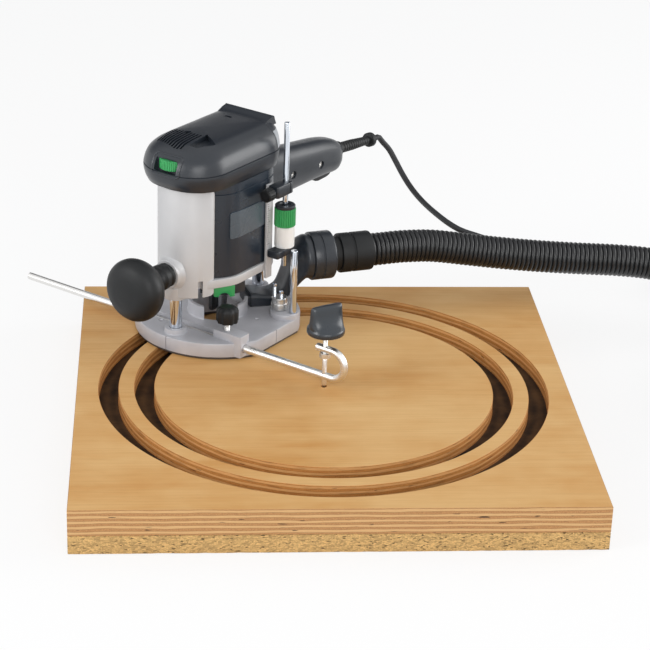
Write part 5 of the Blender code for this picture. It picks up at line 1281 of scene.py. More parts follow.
class JIG_OT_board(bpy.types.Operator):
    """Makes the grooved panel and the backing board"""

    bl_idname = "jig.board"
    bl_label = "Board"

    def execute(self, context):
        self.panel()
        self.backing()
        return {"FINISHED"}

    def panel(self):
        """Rings from the pilot hole out to the sawn edges, so that each zone takes its own material."""
        face, edge, wall, floor = range(4)
        top, c, fillet = board_top, 0.0004, 0.0003
        rows = [
            (PILOT_RADIUS, top - PILOT_DEPTH, wall),
            (PILOT_RADIUS, top - c, wall),
            (PILOT_RADIUS + c, top, face),
        ]
        for middle in GROOVES:
            low, high = middle - GROOVE_HALF, middle + GROOVE_HALF
            bottom = top - GROOVE_DEPTH
            rows += [
                (low - c, top, wall),
                (low, top - c, wall),
                (low, bottom + fillet, wall),
                (low + fillet, bottom, floor),
                (high - fillet, bottom, wall),
                (high, bottom + fillet, wall),
                (high, top - c, wall),
                (high + c, top, face),
            ]
        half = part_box("grooved_panel")[1].x
        squares = [
            (half - 0.0005, top, edge),
            (half, top - 0.0005, edge),
            (half, panel_bottom + 0.0005, edge),
            (half - 0.0005, panel_bottom, edge),
        ]
        turns = even_turns(PANEL_SIDES)
        rings = [[(r * math.cos(t), r * math.sin(t), z) for t in turns] for r, z, _ in rows]
        for r, z, _ in squares:
            far = [r / max(abs(math.cos(t)), abs(math.sin(t))) for t in turns]
            rings.append([(f * math.cos(t), f * math.sin(t), z) for f, t in zip(far, turns)])
        zones = [zone for _, _, zone in rows + squares]
        shape = loft(rings)
        shape.faces.ensure_lookup_table()
        for i, zone in enumerate(zones[:-1]):
            for k in range(PANEL_SIDES):
                shape.faces[i * PANEL_SIDES + k].material_index = zone
        shape.faces[-1].material_index = edge
        shape.faces[-2].material_index = wall
        made = solid("panel", shape, Matrix())
        for name in ("birch_veneer", "birch_plywood_edge", "routed_plywood_wall", "routed_plywood_floor"):
            made.data.materials.append(material(name))
        dress(made, "board", "birch_veneer", "grooved_panel", angle=30.0)

    def backing(self):
        """A slab whose sawn edges have crumbled a little."""
        low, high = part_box("backing_board")
        half, top = high.x, high.z
        steps = 80
        square = []
        for i in range(4):
            turn = Matrix.Rotation(i * math.pi / 2, 2)
            square += [turn @ Vector((half, -half + 2 * half * k / steps)) for k in range(steps)]

        def crumbled(inset, height, most, seed):
            points = []
            for i, p in enumerate(square):
                loose = abs(math.sin((i + seed) * 12.9898) * 43758.5453) % 1.0
                away = inset + most * loose**3
                points.append((p.x * (1 - away / half), p.y * (1 - away / half), height))
            return points

        rings = [
            crumbled(0.0008, low.z, 0.0006, 1),
            crumbled(0.0, low.z + 0.0008, 0.0004, 2),
            crumbled(0.0, low.z + 0.0100, 0.0002, 3),
            crumbled(0.0, top - 0.0007, 0.0004, 4),
            crumbled(0.0006, top, 0.0006, 5),
        ]
        dress(solid("backing", loft(rings), Matrix()), "board", "pressed_chipboard", "backing_board")


# Trammel


def threaded(radius, low, high, pitch, depth):
    """A screw's profile, drawn as rings, which a fine thread can't be told from."""
    points = []
    for i in range(int((high - low) / pitch)):
        z = low + i * pitch
        points += [(radius, z), (radius - depth, z + pitch / 2)]
    points.append((radius, high))
    return points


def hex_nut(name, radius, bore, low, high, place):
    """A six-sided nut with chamfered corners and a round hole."""
    rise = (high - low) * 0.12
    nut = solid(name, prism(circle(radius, 6), low, high), place)
    narrow, wide = radius * 0.90, radius * 1.01
    skirt = turned(((narrow, low), (wide, low + rise), (wide, high - rise), (narrow, high)), MIDDLE)
    combine(nut, "INTERSECT", [solid("tool", skirt, place)])
    return drilled(nut, bore, low - 0.002, high + 0.002, place)


class JIG_OT_trammel(bpy.types.Operator):
    """Makes the rod with its hook, the pivot pin, its nut and its wing knob"""

    bl_idname = "jig.trammel"
    bl_label = "Trammel rod and pivot"

    def execute(self, context):
        start = -0.009
        bend = [
            Vector((0.0, start - BEND_RADIUS * math.sin(t), ROD_HEIGHT + BEND_RADIUS * (1 - math.cos(t))))
            for t in (math.pi * i / 32 for i in range(33))
        ]
        far, tip, c = ROD_LENGTH, 0.010, 0.0007
        line = [Vector((0.0, far, ROD_HEIGHT)), Vector((0.0, far - c, ROD_HEIGHT)), *bend]
        line += [Vector((0.0, tip - c, HOOK_TOP)), Vector((0.0, tip, HOOK_TOP))]
        radii = [ROD_RADIUS - c] + [ROD_RADIUS] * (len(line) - 2) + [ROD_RADIUS - c]
        rod = solid("hooked_rod", loft(sweep(line, radii, 40)), TRAMMEL)
        drilled(rod, PIN_RADIUS + 0.0004, 0.0, HOOK_TOP + 0.008, TRAMMEL)
        dress(rod, "trammel", "drawn_steel", "trammel_rod")
        top = HOOK_TOP + ROD_RADIUS
        knob_bottom = top + 0.014
        thread = threaded(PIN_RADIUS, 0.030, knob_bottom + 0.013, 0.0008, 0.0002)
        profile = [(0.0, -0.006), (PIN_RADIUS, 0.003), *thread, (0.0, knob_bottom + 0.014)]
        dress(solid("pin", turned(profile, SMALL), TRAMMEL), "pivot", "drawn_steel", "pivot_pin")
        high = HOOK_TOP - ROD_RADIUS - SEAT
        nut = hex_nut("lock_nut", 0.0058, PIN_RADIUS + SEAT, high - 0.005, high, TRAMMEL)
        dress(nut, "pivot", "drawn_steel", "pin_lock_nut")
        self.wing_knob(knob_bottom)
        return {"FINISHED"}

    def wing_knob(self, bottom):
        """A round foot that runs up in a hollow curve into a broad flat wing."""
        disc, foot, height, edge = 0.0193, 0.0060, 0.030, trammel().edge
        wide, thick, middle = 0.0185, 0.0045, edge * MITRE
        sections = (
            (disc - edge, disc - edge, 0.0, 2.0),
            (disc - middle, disc - middle, middle, 2.0),
            (disc, disc, edge, 2.0),
            (disc, disc, foot - edge, 2.0),
            (disc - middle, disc - middle, foot - middle, 2.0),
            (disc - edge, disc - edge, 0.0066, 2.0),
            (wide * 1.0, thick * 3.2, 0.0080, 2.2),
            (wide * 0.99, thick * 2.3, 0.0110, 2.4),
            (wide * 0.975, thick * 1.75, 0.0145, 2.7),
            (wide * 0.96, thick * 1.35, 0.0186, 3.0),
            (wide * 0.95, thick * 1.12, 0.0230, 3.2),
            (wide * 0.94, thick * 0.98, 0.0268, 3.2),
            (wide * 0.925, thick * 0.84, 0.0287, 3.0),
            (wide * 0.89, thick * 0.50, height, 2.8),
        )
        rings = []
        for half_x, half_y, z, power in sections:
            ring = []
            for t in even_turns(MIDDLE):
                c, s = math.cos(t), math.sin(t)
                far = (abs(c) ** power + abs(s) ** power) ** (-1 / power)
                ring.append((half_x * c * far, half_y * s * far, bottom + z))
            rings.append(ring)
        place = TRAMMEL @ about_z(math.radians(-25.0))
        made = solid("wing_knob", loft(rings), place)
        drilled(made, PIN_RADIUS + SEAT, bottom - 0.002, bottom + 0.0143, place)
        dress(made, "pivot", "wing_phenolic", "pivot_knob", angle=50.0)


# Router base


def base_outline(inset=0.0):
    """A circle about the spindle with one flat edge."""
    radius = BASE_RADIUS - inset
    end = math.asin((BASE_FLAT - inset) / radius)
    return arc(0.0, 0.0, radius, -end, math.pi + end, 160)


class JIG_OT_base(bpy.types.Operator):
    """Makes the base casting, its sole, the plunge columns and the stop post"""

    bl_idname = "jig.base"
    bl_label = "Router base"

    def execute(self, context):
        sole = solid("sole", prism(base_outline(0.0012), 0.0003, 0.0023, 0.0004))
        cut(sole, bar(COLLAR_OPENING, -0.004, 0.004))
        dress(sole, "base", "paper_phenolic", "base_sole")
        self.casting()
        for name, node, x, y, radius, low in (
            ("left_plunge_column", "left_column", -COLUMN_X, 0.0, COLUMN_RADIUS, 0.0103),
            ("right_plunge_column", "right_column", COLUMN_X, 0.0, COLUMN_RADIUS, 0.0103),
            ("depth_post", "stop_post", POST_X, POST_Y, POST_RADIUS, 0.0203),
        ):
            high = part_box(node)[1].z - board_top
            dress(solid(name, bar(radius, low, high, 0.0008), ROUTER @ at(x, y)), "base", "hard_chrome", node)
        return {"FINISHED"}

    def casting(self):
        """The base plate with its bosses, its rod channel and the holes for what stands in it."""
        casting = solid("casting", prism(base_outline(), CASTING_BOTTOM, BASE_TOP, router().edge))
        foot = CASTING_BOTTOM + SEAT
        join(
            casting,
            boss(COLLAR_RADIUS, BASE_TOP, COLLAR_TOP, 0.0015, 0.0006),
            *((boss(0.0117, BASE_TOP, BOSS_TOP, 0.0010, 0.0010), at(x)) for x in (-COLUMN_X, COLUMN_X)),
            prism(rounded_box(*CLAMP_BLOCK, 0.0015, 3), foot, 0.027, 0.0008),
            (bar(0.0158, foot, BOSS_TOP, 0.0012, ROUND), at(TURRET_X + 0.0003, TURRET_Y - 0.0068)),
        )
        channel = rectangle(-0.056, -0.044, -0.038, 0.092)
        notch = rectangle(0.014, 0.036, -0.018, 0.018)
        window = rectangle(0.014, 0.0323, -0.007, 0.023)
        screws = ((0.006, -0.048), (0.054, -0.036), (0.046, 0.046), (-0.060, 0.030))
        cut(
            casting,
            bar(COLLAR_OPENING, 0.0, 0.040, sides=ROUND),
            prism(channel, 0.007, 0.027),
            (prism(notch, BASE_TOP, 0.037), about_z(LOCK_TURN)),
            (prism(window, DUCT_LOW, DUCT_HIGH), about_z(PORT_TURN)),
            *((bar(0.0068, 0.010, 0.028), at(x)) for x in (-COLUMN_X, COLUMN_X)),
            (bar(0.0044, -0.042, 0.092, sides=SMALL), at(-ROD_OFFSET, 0.0, ROD_HEIGHT, AGAINST_Y)),
            (bar(0.0034, ROD_HEIGHT, 0.031, sides=SMALL), at(-ROD_OFFSET, CLAMP_Y)),
            (bar(POST_RADIUS + SEAT, 0.020, 0.028, sides=SMALL), at(POST_X, POST_Y)),
            self.seam(-BASE_RADIUS, 0.0, math.pi),
            self.seam(-0.003, -BASE_FLAT, -math.pi / 2),
            *((self.socket(), at(x, y)) for x, y in screws),
        )
        dress(casting, "base", "painted_casting", "base_casting", angle=32.0)

    def seam(self, x, y, turn):
        """A shallow upright groove in the rim."""
        return prism(rectangle(-0.0016, 0.006, -0.00045, 0.00045), 0.0, 0.020), at(x, y, 0.0, about_z(turn))

    def socket(self):
        """A countersunk hole for a fastening screw."""
        root, flare, top = BASE_TOP - 0.005, BASE_TOP - 0.0012, BASE_TOP + 0.0002
        return turned(((0.0, root), (0.0014, root), (0.0014, flare), (0.0028, top), (0.0, top)), SMALL)


class JIG_OT_rod_clamp(bpy.types.Operator):
    """Makes the knob and screw that clamp the rod in the base"""

    bl_idname = "jig.rod_clamp"
    bl_label = "Rod clamp"

    def execute(self, context):
        place = ROUTER @ at(-ROD_OFFSET, CLAMP_Y)
        root, top = 0.0163, 0.0447
        thread = threaded(0.0030, 0.0170, 0.0350, 0.0010, 0.0003)
        profile = [(0.0, root), (0.0026, root), *thread, (0.0030, top), (0.0, top)]
        screw = solid("clamp_screw", turned(profile, SMALL), place)
        dress(screw, "rod_clamp", "drawn_steel", "rod_clamp_screw")
        low, high = 0.036, 0.0535
        lobes = []
        for t in even_turns(ROUND):
            radius = 0.0112 + 0.0007 * math.cos(9 * t)
            lobes.append((radius * math.cos(t), radius * math.sin(t)))
        levels = (
            (0.0022, low),
            (0.0008, low + 0.0004),
            (0.0, low + 0.0018),
            (0.0, high - 0.0050),
            (0.0010, high - 0.0022),
            (0.0034, high - 0.0006),
            (0.0064, high),
        )
        rings = []
        for inset, z in levels:
            share = 1 - inset / 0.0117
            rings.append([(x * share, y * share, z) for x, y in lobes])
        knob = solid("clamp_knob", loft(rings), place)
        drilled(knob, 0.0033, low - 0.002, 0.0450, place)
        dress(knob, "rod_clamp", "soft_rubber", "rod_clamp_knob", angle=50.0)
        return {"FINISHED"}


class JIG_OT_turret(bpy.types.Operator):
    """Makes the revolving stop and its two screws"""

    bl_idname = "jig.turret"
    bl_label = "Stop turret"

    def execute(self, context):
        place = ROUTER @ at(TURRET_X, TURRET_Y)
        low = BOSS_TOP + SEAT
        top = low + 0.0135
        knurl = toothed(0.0090, 0.0003, 44)
        plain = circle(0.0084, 44 * 4)
        rings = stacked(knurl, ((0.0006, low), (0.0, low + 0.0006), (0.0, low + 0.0066)))
        rings += stacked(plain, ((0.0, low + 0.0072), (0.0, top - 0.0008), (0.0008, top)))
        turret = coated(solid("turret", loft(rings), place), "machined_aluminium")
        to_rod = math.atan2(STOP_Y - TURRET_Y, STOP_X - TURRET_X)
        screws = (("long_screw", "long_stop_screw", 0.015), ("short_screw", "short_stop_screw", 0.009))
        for i, (name, node, height) in enumerate(screws):
            turn = to_rod + (i + 1) * 2 * math.pi / 3
            spot = place @ at(0.0055 * math.cos(turn), 0.0055 * math.sin(turn))
            root, end = top - 0.00645, top + height
            head = end - 0.0032
            drilled(turret, 0.00198, root, top + 0.002, spot)
            thread = threaded(0.00168, root, head - 0.0003, 0.0007, 0.0002)
            rim = [(0.0022, head), (0.0024, head + 0.0004), (0.0024, end - 0.0005), (0.0018, end)]
            screw = solid(name, turned([(0.0, root), *thread, *rim, (0.0, end)], SMALL), spot)
            slot = prism(rectangle(-0.004, 0.004, -0.0004, 0.0004), end - 0.0009, end + 0.002)
            dress(cut(screw, slot, place=spot), "turret", "hard_chrome", node)
        dress(turret, "turret", "machined_aluminium", "stop_turret")
        return {"FINISHED"}


# Dust port


def duct_ring(place, low, high, half, corner, shift):
    """One cross-section of the duct, that far from the spindle."""
    middle, tall = (low + high) / 2, (high - low) / 2
    return [(place, shift + y, middle + x) for x, y in rounded_box(-tall, tall, -half, half, corner, 10)]


def duct_rings(wall, reach):
    """The duct's skin, from its flat mouth in the base to its round port."""
    low, side, corner, high = DUCT_LOW + wall, 0.016 - wall, 0.005 - wall, DUCT_HIGH - wall
    port = 0.024 - wall
    bottom, top = PORT_HEIGHT - port, PORT_HEIGHT + port
    flat = (low, high, side, corner, 0.008)
    bent = ((low + bottom) / 2, top - port / 2, side + wall * 2, port / 2, 0.0048)
    full = (bottom, top, port, port, 0.0)
    places = (0.035 - reach, 0.069, 0.084, 0.094, 0.101 + reach)
    rings = [duct_ring(place, *section) for place, section in zip(places, (flat, flat, bent, full, full))]
    rows = between(rings, places, 8)
    for row in rows[:8]:
        for p in row:
            p.z = min(max(p.z, low), high)
    return rows


class JIG_OT_dust_port(bpy.types.Operator):
    """Makes the dust duct, its collar and the hose's cuff"""

    bl_idname = "jig.dust_port"
    bl_label = "Dust port"

    def execute(self, context):
        port = ROUTER @ about_z(PORT_TURN)
        duct = solid("duct", loft(duct_rings(0.0, 0.0)), port)
        cut(duct, loft(duct_rings(0.0022, 0.004)), place=port)
        dress(duct, "base", "moulded_abs", "dust_duct", angle=45.0)
        along = port @ at(0.0, 0.0, PORT_HEIGHT, ALONG_X)
        start, end = 0.1013, 0.1263
        collar = [
            (0.0240, start),
            (0.0258, start + 0.0006),
            (0.0262, start + 0.0014),
            (0.0262, start + 0.0095),
            (0.0254, start + 0.0102),
            (0.0254, start + 0.0112),
            (0.0262, start + 0.0119),
            (0.0262, end - 0.0022),
            (0.0256, end - 0.0008),
            (0.0244, end),
            (HOSE_BORE, end),
            (HOSE_BORE, end - 0.0011),
            (0.0218, start),
        ]
        made = solid("collar", turned(collar, ROUND, hollow=True), along)
        dress(made, "base", "moulded_abs", "port_collar")
        neck, radius = 0.0185, 0.0215
        lip = CUFF_START + 0.0075
        profile = [
            (neck, CUFF_START),
            (neck, lip),
            (radius - 0.0012, lip + 0.0003),
            (radius - 0.0003, lip + 0.0008),
            (radius, lip + 0.0018),
            (radius, lip + 0.0130),
            (radius - 0.0010, lip + 0.0138),
            (radius - 0.0010, lip + 0.0154),
            (radius, lip + 0.0162),
            (radius, CUFF_END - 0.0024),
            (radius - 0.0005, CUFF_END - 0.0008),
            (radius - 0.0018, CUFF_END),
            (HOSE_BORE, CUFF_END),
            (HOSE_BORE, CUFF_START),
        ]
        made = solid("cuff", turned(profile, ROUND, hollow=True), along)
        dress(made, "base", "soft_rubber", "hose_cuff")
        return {"FINISHED"}


# Motor unit


class JIG_OT_bracket(bpy.types.Operator):
    """Makes the silver bracket: shell, flange, column sleeves and the knob's boss"""

    bl_idname = "jig.bracket"
    bl_label = "Motor bracket"

    def execute(self, context):
        shell = coated(solid("shell", self.shell()), "silver_coat")
        notch = at(SHELL_X, 0.0, 0.0, about_z(math.radians(236.5)))
        cutter = rectangle(0.026, 0.040, -0.0026, 0.0026)
        cut(shell, (prism(cutter, 0.055, 0.081), notch))
        plate = prism(self.flange(), FLANGE_BOTTOM, FLANGE_TOP, 0.0010)
        flange = coated(solid("flange", plate), "silver_coat")
        cut(
            flange,
            (prism(cutter, 0.055, 0.081), notch),
            *((bar(0.0069, 0.050, 0.200), at(x)) for x in (-COLUMN_X, COLUMN_X)),
            bar(0.0113, 0.060, 0.090, sides=ROUND),
        )
        right_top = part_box("handle_front_half")[0].z - board_top - SEAT
        parts = [shell, flange]
        for x, top in ((-COLUMN_X, SHELL_TOP - SEAT), (COLUMN_X, right_top)):
            parts.append(coated(solid("sleeve", self.sleeve(top), ROUTER @ at(x)), "silver_coat"))
        boss_place = ROUTER @ at(0.0, 0.0, KNOB_HEIGHT, AGAINST_X)
        near, far = -SHELL_X + SHELL_RADIUS - SHELL_WALL, -SHELL_X + SHELL_RADIUS + 0.005
        profile = (
            (0.0044, near),
            (0.0190, near),
            (0.0170, near + 0.0030),
            (0.0158, near + 0.0045),
            (0.0155, near + 0.0055),
            (0.0155, far - 0.0010),
            (0.0146, far),
            (0.0044, far),
        )
        ring = solid("boss", turned(profile, ROUND, hollow=True), boss_place)
        parts.append(coated(ring, "silver_coat"))
        dress(gather("bracket", parts), "motor", "silver_coat", "motor_bracket", angle=32.0)
        return {"FINISHED"}

    def shell(self):
        """A bent plate with round corners, as cross-sections that follow its bend."""
        spread = math.radians(84.0)
        outer, inner = SHELL_RADIUS, SHELL_RADIUS - SHELL_WALL
        corner, edge = 0.0060, 0.0007
        steps = 72
        reach = spread * outer
        rings = []
        for i in range(steps + 1):
            share = -math.cos(math.pi * i / steps)
            turn = math.pi + spread * share
            inward = max(0.0, corner - (reach - abs(share) * reach))
            drop = corner - math.sqrt(max(corner**2 - inward**2, 0.0))
            high = SHELL_TOP - drop
            low = SHELL_BOTTOM + drop * 0.4
            section = (
                (inner, low),
                (outer - edge, low),
                (outer, low + edge),
                (outer, high - edge),
                (outer - edge * MITRE, high - edge * MITRE),
                (outer - edge, high),
                (inner, high),
            )
            rings.append([(SHELL_X + r * math.cos(turn), r * math.sin(turn), z) for r, z in section])
        return loft(rings)

    def flange(self):
        corners = housing_corners(HOUSING_CORNER + 0.0015)
        return belt(((SHELL_X, 0.0, SHELL_RADIUS - SEAT), *corners, (COLUMN_X, 0.0, 0.013)))

    def sleeve(self, top):
        """A column's guide: a broad foot below the flange and a slim tube above it."""
        bore, foot, low = COLUMN_RADIUS + 0.0004, 0.013, 0.0583
        profile = (
            (foot - 0.0010, low),
            (foot - 0.0003, low + 0.0003),
            (foot, low + 0.0010),
            (foot, FLANGE_BOTTOM + 0.002),
            (0.0095, FLANGE_BOTTOM + 0.004),
            (0.0095, top),
            (bore, top),
            (bore, low + 0.0006),
            (bore + 0.0006, low),
        )
        return turned(profile, MIDDLE, hollow=True)


def housing_corners(radius):
    """The four circles that the housing's outline is laid round."""
    x, y = HOUSING_X, HOUSING_Y
    return ((-x, -y, radius), (x, -y, radius), (x, y, radius), (-x, y, radius))


class JIG_OT_housing(bpy.types.Operator):
    """Makes the motor housing and its bare label plate"""

    bl_idname = "jig.housing"
    bl_label = "Motor housing"

    def execute(self, context):
        low = FLANGE_TOP + SEAT
        levels = (
            (0.0012, low),
            (0.0, low + 0.0012),
            (0.0, 0.1715),
            (0.0008, 0.1720),
            (0.0008, 0.1730),
            (0.0, 0.1735),
            (0.0, HOUSING_TOP),
        )
        housing = solid("housing", loft(stacked(belt(housing_corners(HOUSING_CORNER)), levels)))
        cut(housing, bar(0.037, low - 0.004, HOUSING_TOP + 0.004, sides=ROUND))
        dress(housing, "motor", "smooth_abs", "motor_housing", angle=32.0)
        self.plate()
        return {"FINISHED"}

    def plate(self):
        """A bare plate that runs round the housing's left corner onto its front."""
        bottom, high = (corner.z - board_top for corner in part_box("label_plate"))
        inner, outer, edge = HOUSING_CORNER + SEAT, HOUSING_CORNER + 0.0011, 0.0003
        radii = (inner, outer - edge, outer, outer, outer - edge, inner)
        front, reach, right = -math.pi / 2, math.radians(26.0), 0.0175
        start, bend = front - reach, reach / 12
        stations = [(start + bend * i, None) for i in range(13)]
        stations += [(front, -HOUSING_X + (right + HOUSING_X) * i / 4) for i in range(1, 5)]
        rings = []
        for i, (turn, x) in enumerate(stations):
            drop = (0.0012, 0.0004, 0.0, 0.0)[min(i, len(stations) - 1 - i, 3)]
            low, top = bottom + drop, high - drop
            section = list(zip(radii, (low, low, low + edge, top - edge, top, top)))
            if x is None:
                c, s = math.cos(turn), math.sin(turn)
                rings.append([(r * c - HOUSING_X, r * s - HOUSING_Y, z) for r, z in section])
            else:
                rings.append([(x, -HOUSING_Y - r, z) for r, z in section])
        dress(solid("bare_plate", loft(rings)), "motor", "label_film", "label_plate", angle=30.0)


def cap_rings(steps=5):
    """The cap's outlines from its foot to its crown, with the seam round its widest level."""
    rings = [
        lifted(rounded_box(left, right, -half, half, corner, 14, CAP_END_CORNER), level)
        for level, left, right, half, corner in zip(CAP_LEVELS, CAP_LEFT, CAP_RIGHT, CAP_HALF, CAP_CORNER)
    ]
    rows = between(rings, CAP_LEVELS, steps)
    widest = rows[2 * steps]
    outline = [(p.x, p.y) for p in widest]
    seam = [
        lifted(shrunk(outline, inset), CAP_LEVELS[2] + rise * SEAM_DEPTH)
        for inset, rise in ((0.0, -0.9), (SEAM_DEPTH, -0.5), (SEAM_DEPTH, 0.5), (0.0, 0.9))
    ]
    rows[2 * steps : 2 * steps + 1] = [[Vector(p) for p in row] for row in seam]
    crown = rows[-1]
    centre = Vector((sum(p.x for p in crown) / len(crown), 0.0, CAP_LEVELS[-1]))
    for share, rise in ((0.90, 0.0010), (0.72, 0.0018), (0.45, 0.0024), (0.15, 0.0027)):
        rows.append([centre + (p - centre) * share + Vector((0.0, 0.0, rise)) for p in crown])
    return rows


def slab(low_x, high_x):
    """A block that takes all of the cap away between two places."""
    return prism(rectangle(low_x, high_x, -0.06, 0.06), 0.17, 0.24)


def dial_frame(halves, corner, steps):
    """An outline round the dial, from its half width and half height."""
    wide, tall = halves
    return rounded_box(-wide, wide, DIAL_HEIGHT - tall, DIAL_HEIGHT + tall, corner, steps)


def touched(piece, start, towards):
    """Where a line, given in the router's own frame, meets a piece, and which way the face looks."""
    hit, place, normal, _ = piece.ray_cast(ROUTER @ Vector(start), ROUTER.to_3x3() @ Vector(towards))
    if not hit:
        raise RuntimeError("a line misses the " + piece.name)
    return place, normal


class JIG_OT_cap(bpy.types.Operator):
    """Makes the top cap, the rear cover and the speed dial"""

    bl_idname = "jig.cap"
    bl_label = "Cap, rear cover and dial"

    def execute(self, context):
        cap = coated(solid("cap", loft(cap_rings())), "moulded_abs")
        cavity = rounded_box(-0.0785, 0.0330, -0.0275, 0.0275, 0.0115)
        cut(cap, slab(COVER_START - 0.0001, 0.07), prism(cavity, 0.178, 0.212))
        window = prism(dial_frame(WINDOW_HALVES, 0.0020, 4), 0.0850, 0.1000)
        scoop = [(-0.0660, -0.0120), (-0.0330, -0.0090), (-0.0470, -0.0310), (-0.0640, -0.0215)]
        cut(
            cap,
            (window, at(turn=FACING_X @ Matrix.Rotation(math.pi, 4, "Y"))),
            (bar(POCKET_RADIUS, DIAL_HEIGHT - POCKET_HALF, DIAL_HEIGHT + POCKET_HALF), at(DIAL_X)),
            *(self.slot(i) for i in range(10)),
            prism(scoop, 0.2225, 0.240),
            (bar(0.0034, 0.2200, 0.2400, sides=SMALL), at(-0.0390, 0.0110)),
            prism(rounded_box(0.0225, 0.0265, 0.0035, 0.0120, 0.0009, 3), 0.2255, 0.240),
        )
        # A flat black sheet under the vent slots: painted shade of the cap's inside.
        floor = prism(rectangle(-0.0700, -0.0280, -0.0300, 0.0320), 0.2120, 0.2135)
        parts = [cap, coated(solid("painted_shade_sheet", floor), "shade_and_print_black"), self.frame_bead(cap)]
        dress(gather("vented_cap", parts), "motor", "moulded_abs", "top_cap", angle=30.0)
        self.rear_cover()
        self.dial()
        return {"FINISHED"}

    def slot(self, i):
        """One of the vents that run along the cap over its sloping end."""
        y = 0.0285 - i * 0.0038
        right = -0.0385 + i * 0.00005
        left = -0.0745 + abs(y) * 0.28
        return prism(rounded_box(left, right, y - 0.0011, y + 0.0011, 0.0009, 3), 0.2140, 0.2400)

    def frame_bead(self, cap):
        """A raised bead round the dial's window, laid on the cap's end."""
        inverse = ROUTER.inverted()
        line = []
        for y, z in even_outline(dial_frame(BEAD_HALVES, 0.0040, 6), 0.0010):
            place, _ = touched(cap, (-0.150, y, z), (1.0, 0.0, 0.0))
            line.append(inverse @ place)
        count = len(line)
        high, wide = 0.0009, 0.0011
        turns = [(math.cos(t), math.sin(t)) for t in even_turns(10)]
        rings = []
        for i, p in enumerate(line):
            along = (line[(i + 1) % count] - line[i - 1]).normalized()
            out = Vector((-1.0, 0.0, 0.0))
            out = (out - along * out.dot(along)).normalized()
            side = along.cross(out)
            rings.append([p + (out * c * high + side * s * wide) for c, s in turns])
        return coated(solid("bead", loft(rings, closed=True)), "moulded_abs")

    def rear_cover(self):
        """The back of the cap, with a raised ridge and a pale panel on each side as a painted highlight."""
        cover = solid("cover", loft(cap_rings()))
        low, top, peak, half = 0.2205, 0.2255, 0.2305, 0.031
        start = COVER_START + 0.0002
        side = (
            (start, low),
            (start, top + 0.0004),
            (0.0440, top + 0.0032),
            (0.0490, peak - 0.0006),
            (0.0510, peak),
            (0.0525, peak - 0.0008),
            (0.0540, top),
            (0.0562, low),
        )
        join(cover, loft([[(x, y, z) for x, z in side] for y in (-half, half)]))
        hollow = prism(rectangle(0.030, 0.0505, -0.0275, 0.0275), 0.178, 0.214)
        coated(cut(cover, slab(-0.10, start), hollow), "moulded_abs")
        parts = [cover, *(self.highlight_panel(cover, way) for way in (-1, 1))]
        dress(gather("ridged_cover", parts), "motor", "moulded_abs", "rear_cover", angle=30.0)

    def highlight_panel(self, cover, way):
        """A thin pale panel that follows the cover's side: a painted highlight on that face."""
        rows = []
        steps = 10
        for i in range(steps + 1):
            z = 0.2025 + 0.0165 * i / steps
            row = []
            for k in range(steps + 1):
                x = 0.0376 + (0.0176 - 0.0016 * i / steps) * k / steps
                place, normal = touched(cover, (x, way * 0.10, z), (0.0, -way, 0.0))
                row.append(place + normal * SEAT)
            rows.append(row)
        shape = bmesh.new()
        grid = [[shape.verts.new(p) for p in row] for row in rows]
        for i in range(steps):
            for k in range(steps):
                shape.faces.new((grid[i][k], grid[i][k + 1], grid[i + 1][k + 1], grid[i + 1][k]))
        bmesh.ops.recalc_face_normals(shape, faces=shape.faces)
        bmesh.ops.solidify(shape, geom=shape.faces[:], thickness=0.0006)
        return coated(solid("highlight_panel", shape, Matrix()), "painted_highlight_abs")

    def dial(self):
        """A thumbwheel with a flat-topped tooth every few degrees and a chamfer at each rim."""
        half, chamfer = DIAL_HALF, 0.0008
        levels = ((chamfer, -half), (0.0, chamfer - half), (0.0, half - chamfer), (chamfer, half))
        rings = stacked(toothed(DIAL_RADIUS, 0.0007, 48), levels)
        made = solid("thumbwheel", loft(rings), ROUTER @ at(DIAL_X, 0.0, DIAL_HEIGHT))
        dress(made, "dial", "green_nylon", "speed_dial", angle=25.0)


def even_outline(outline, spacing):
    """A closed outline's points, evenly spaced."""
    line = [Vector((x, y, 0.0)) for x, y in outline]
    return [(p.x, p.y) for p in even([*line, line[0]], spacing)[:-1]]


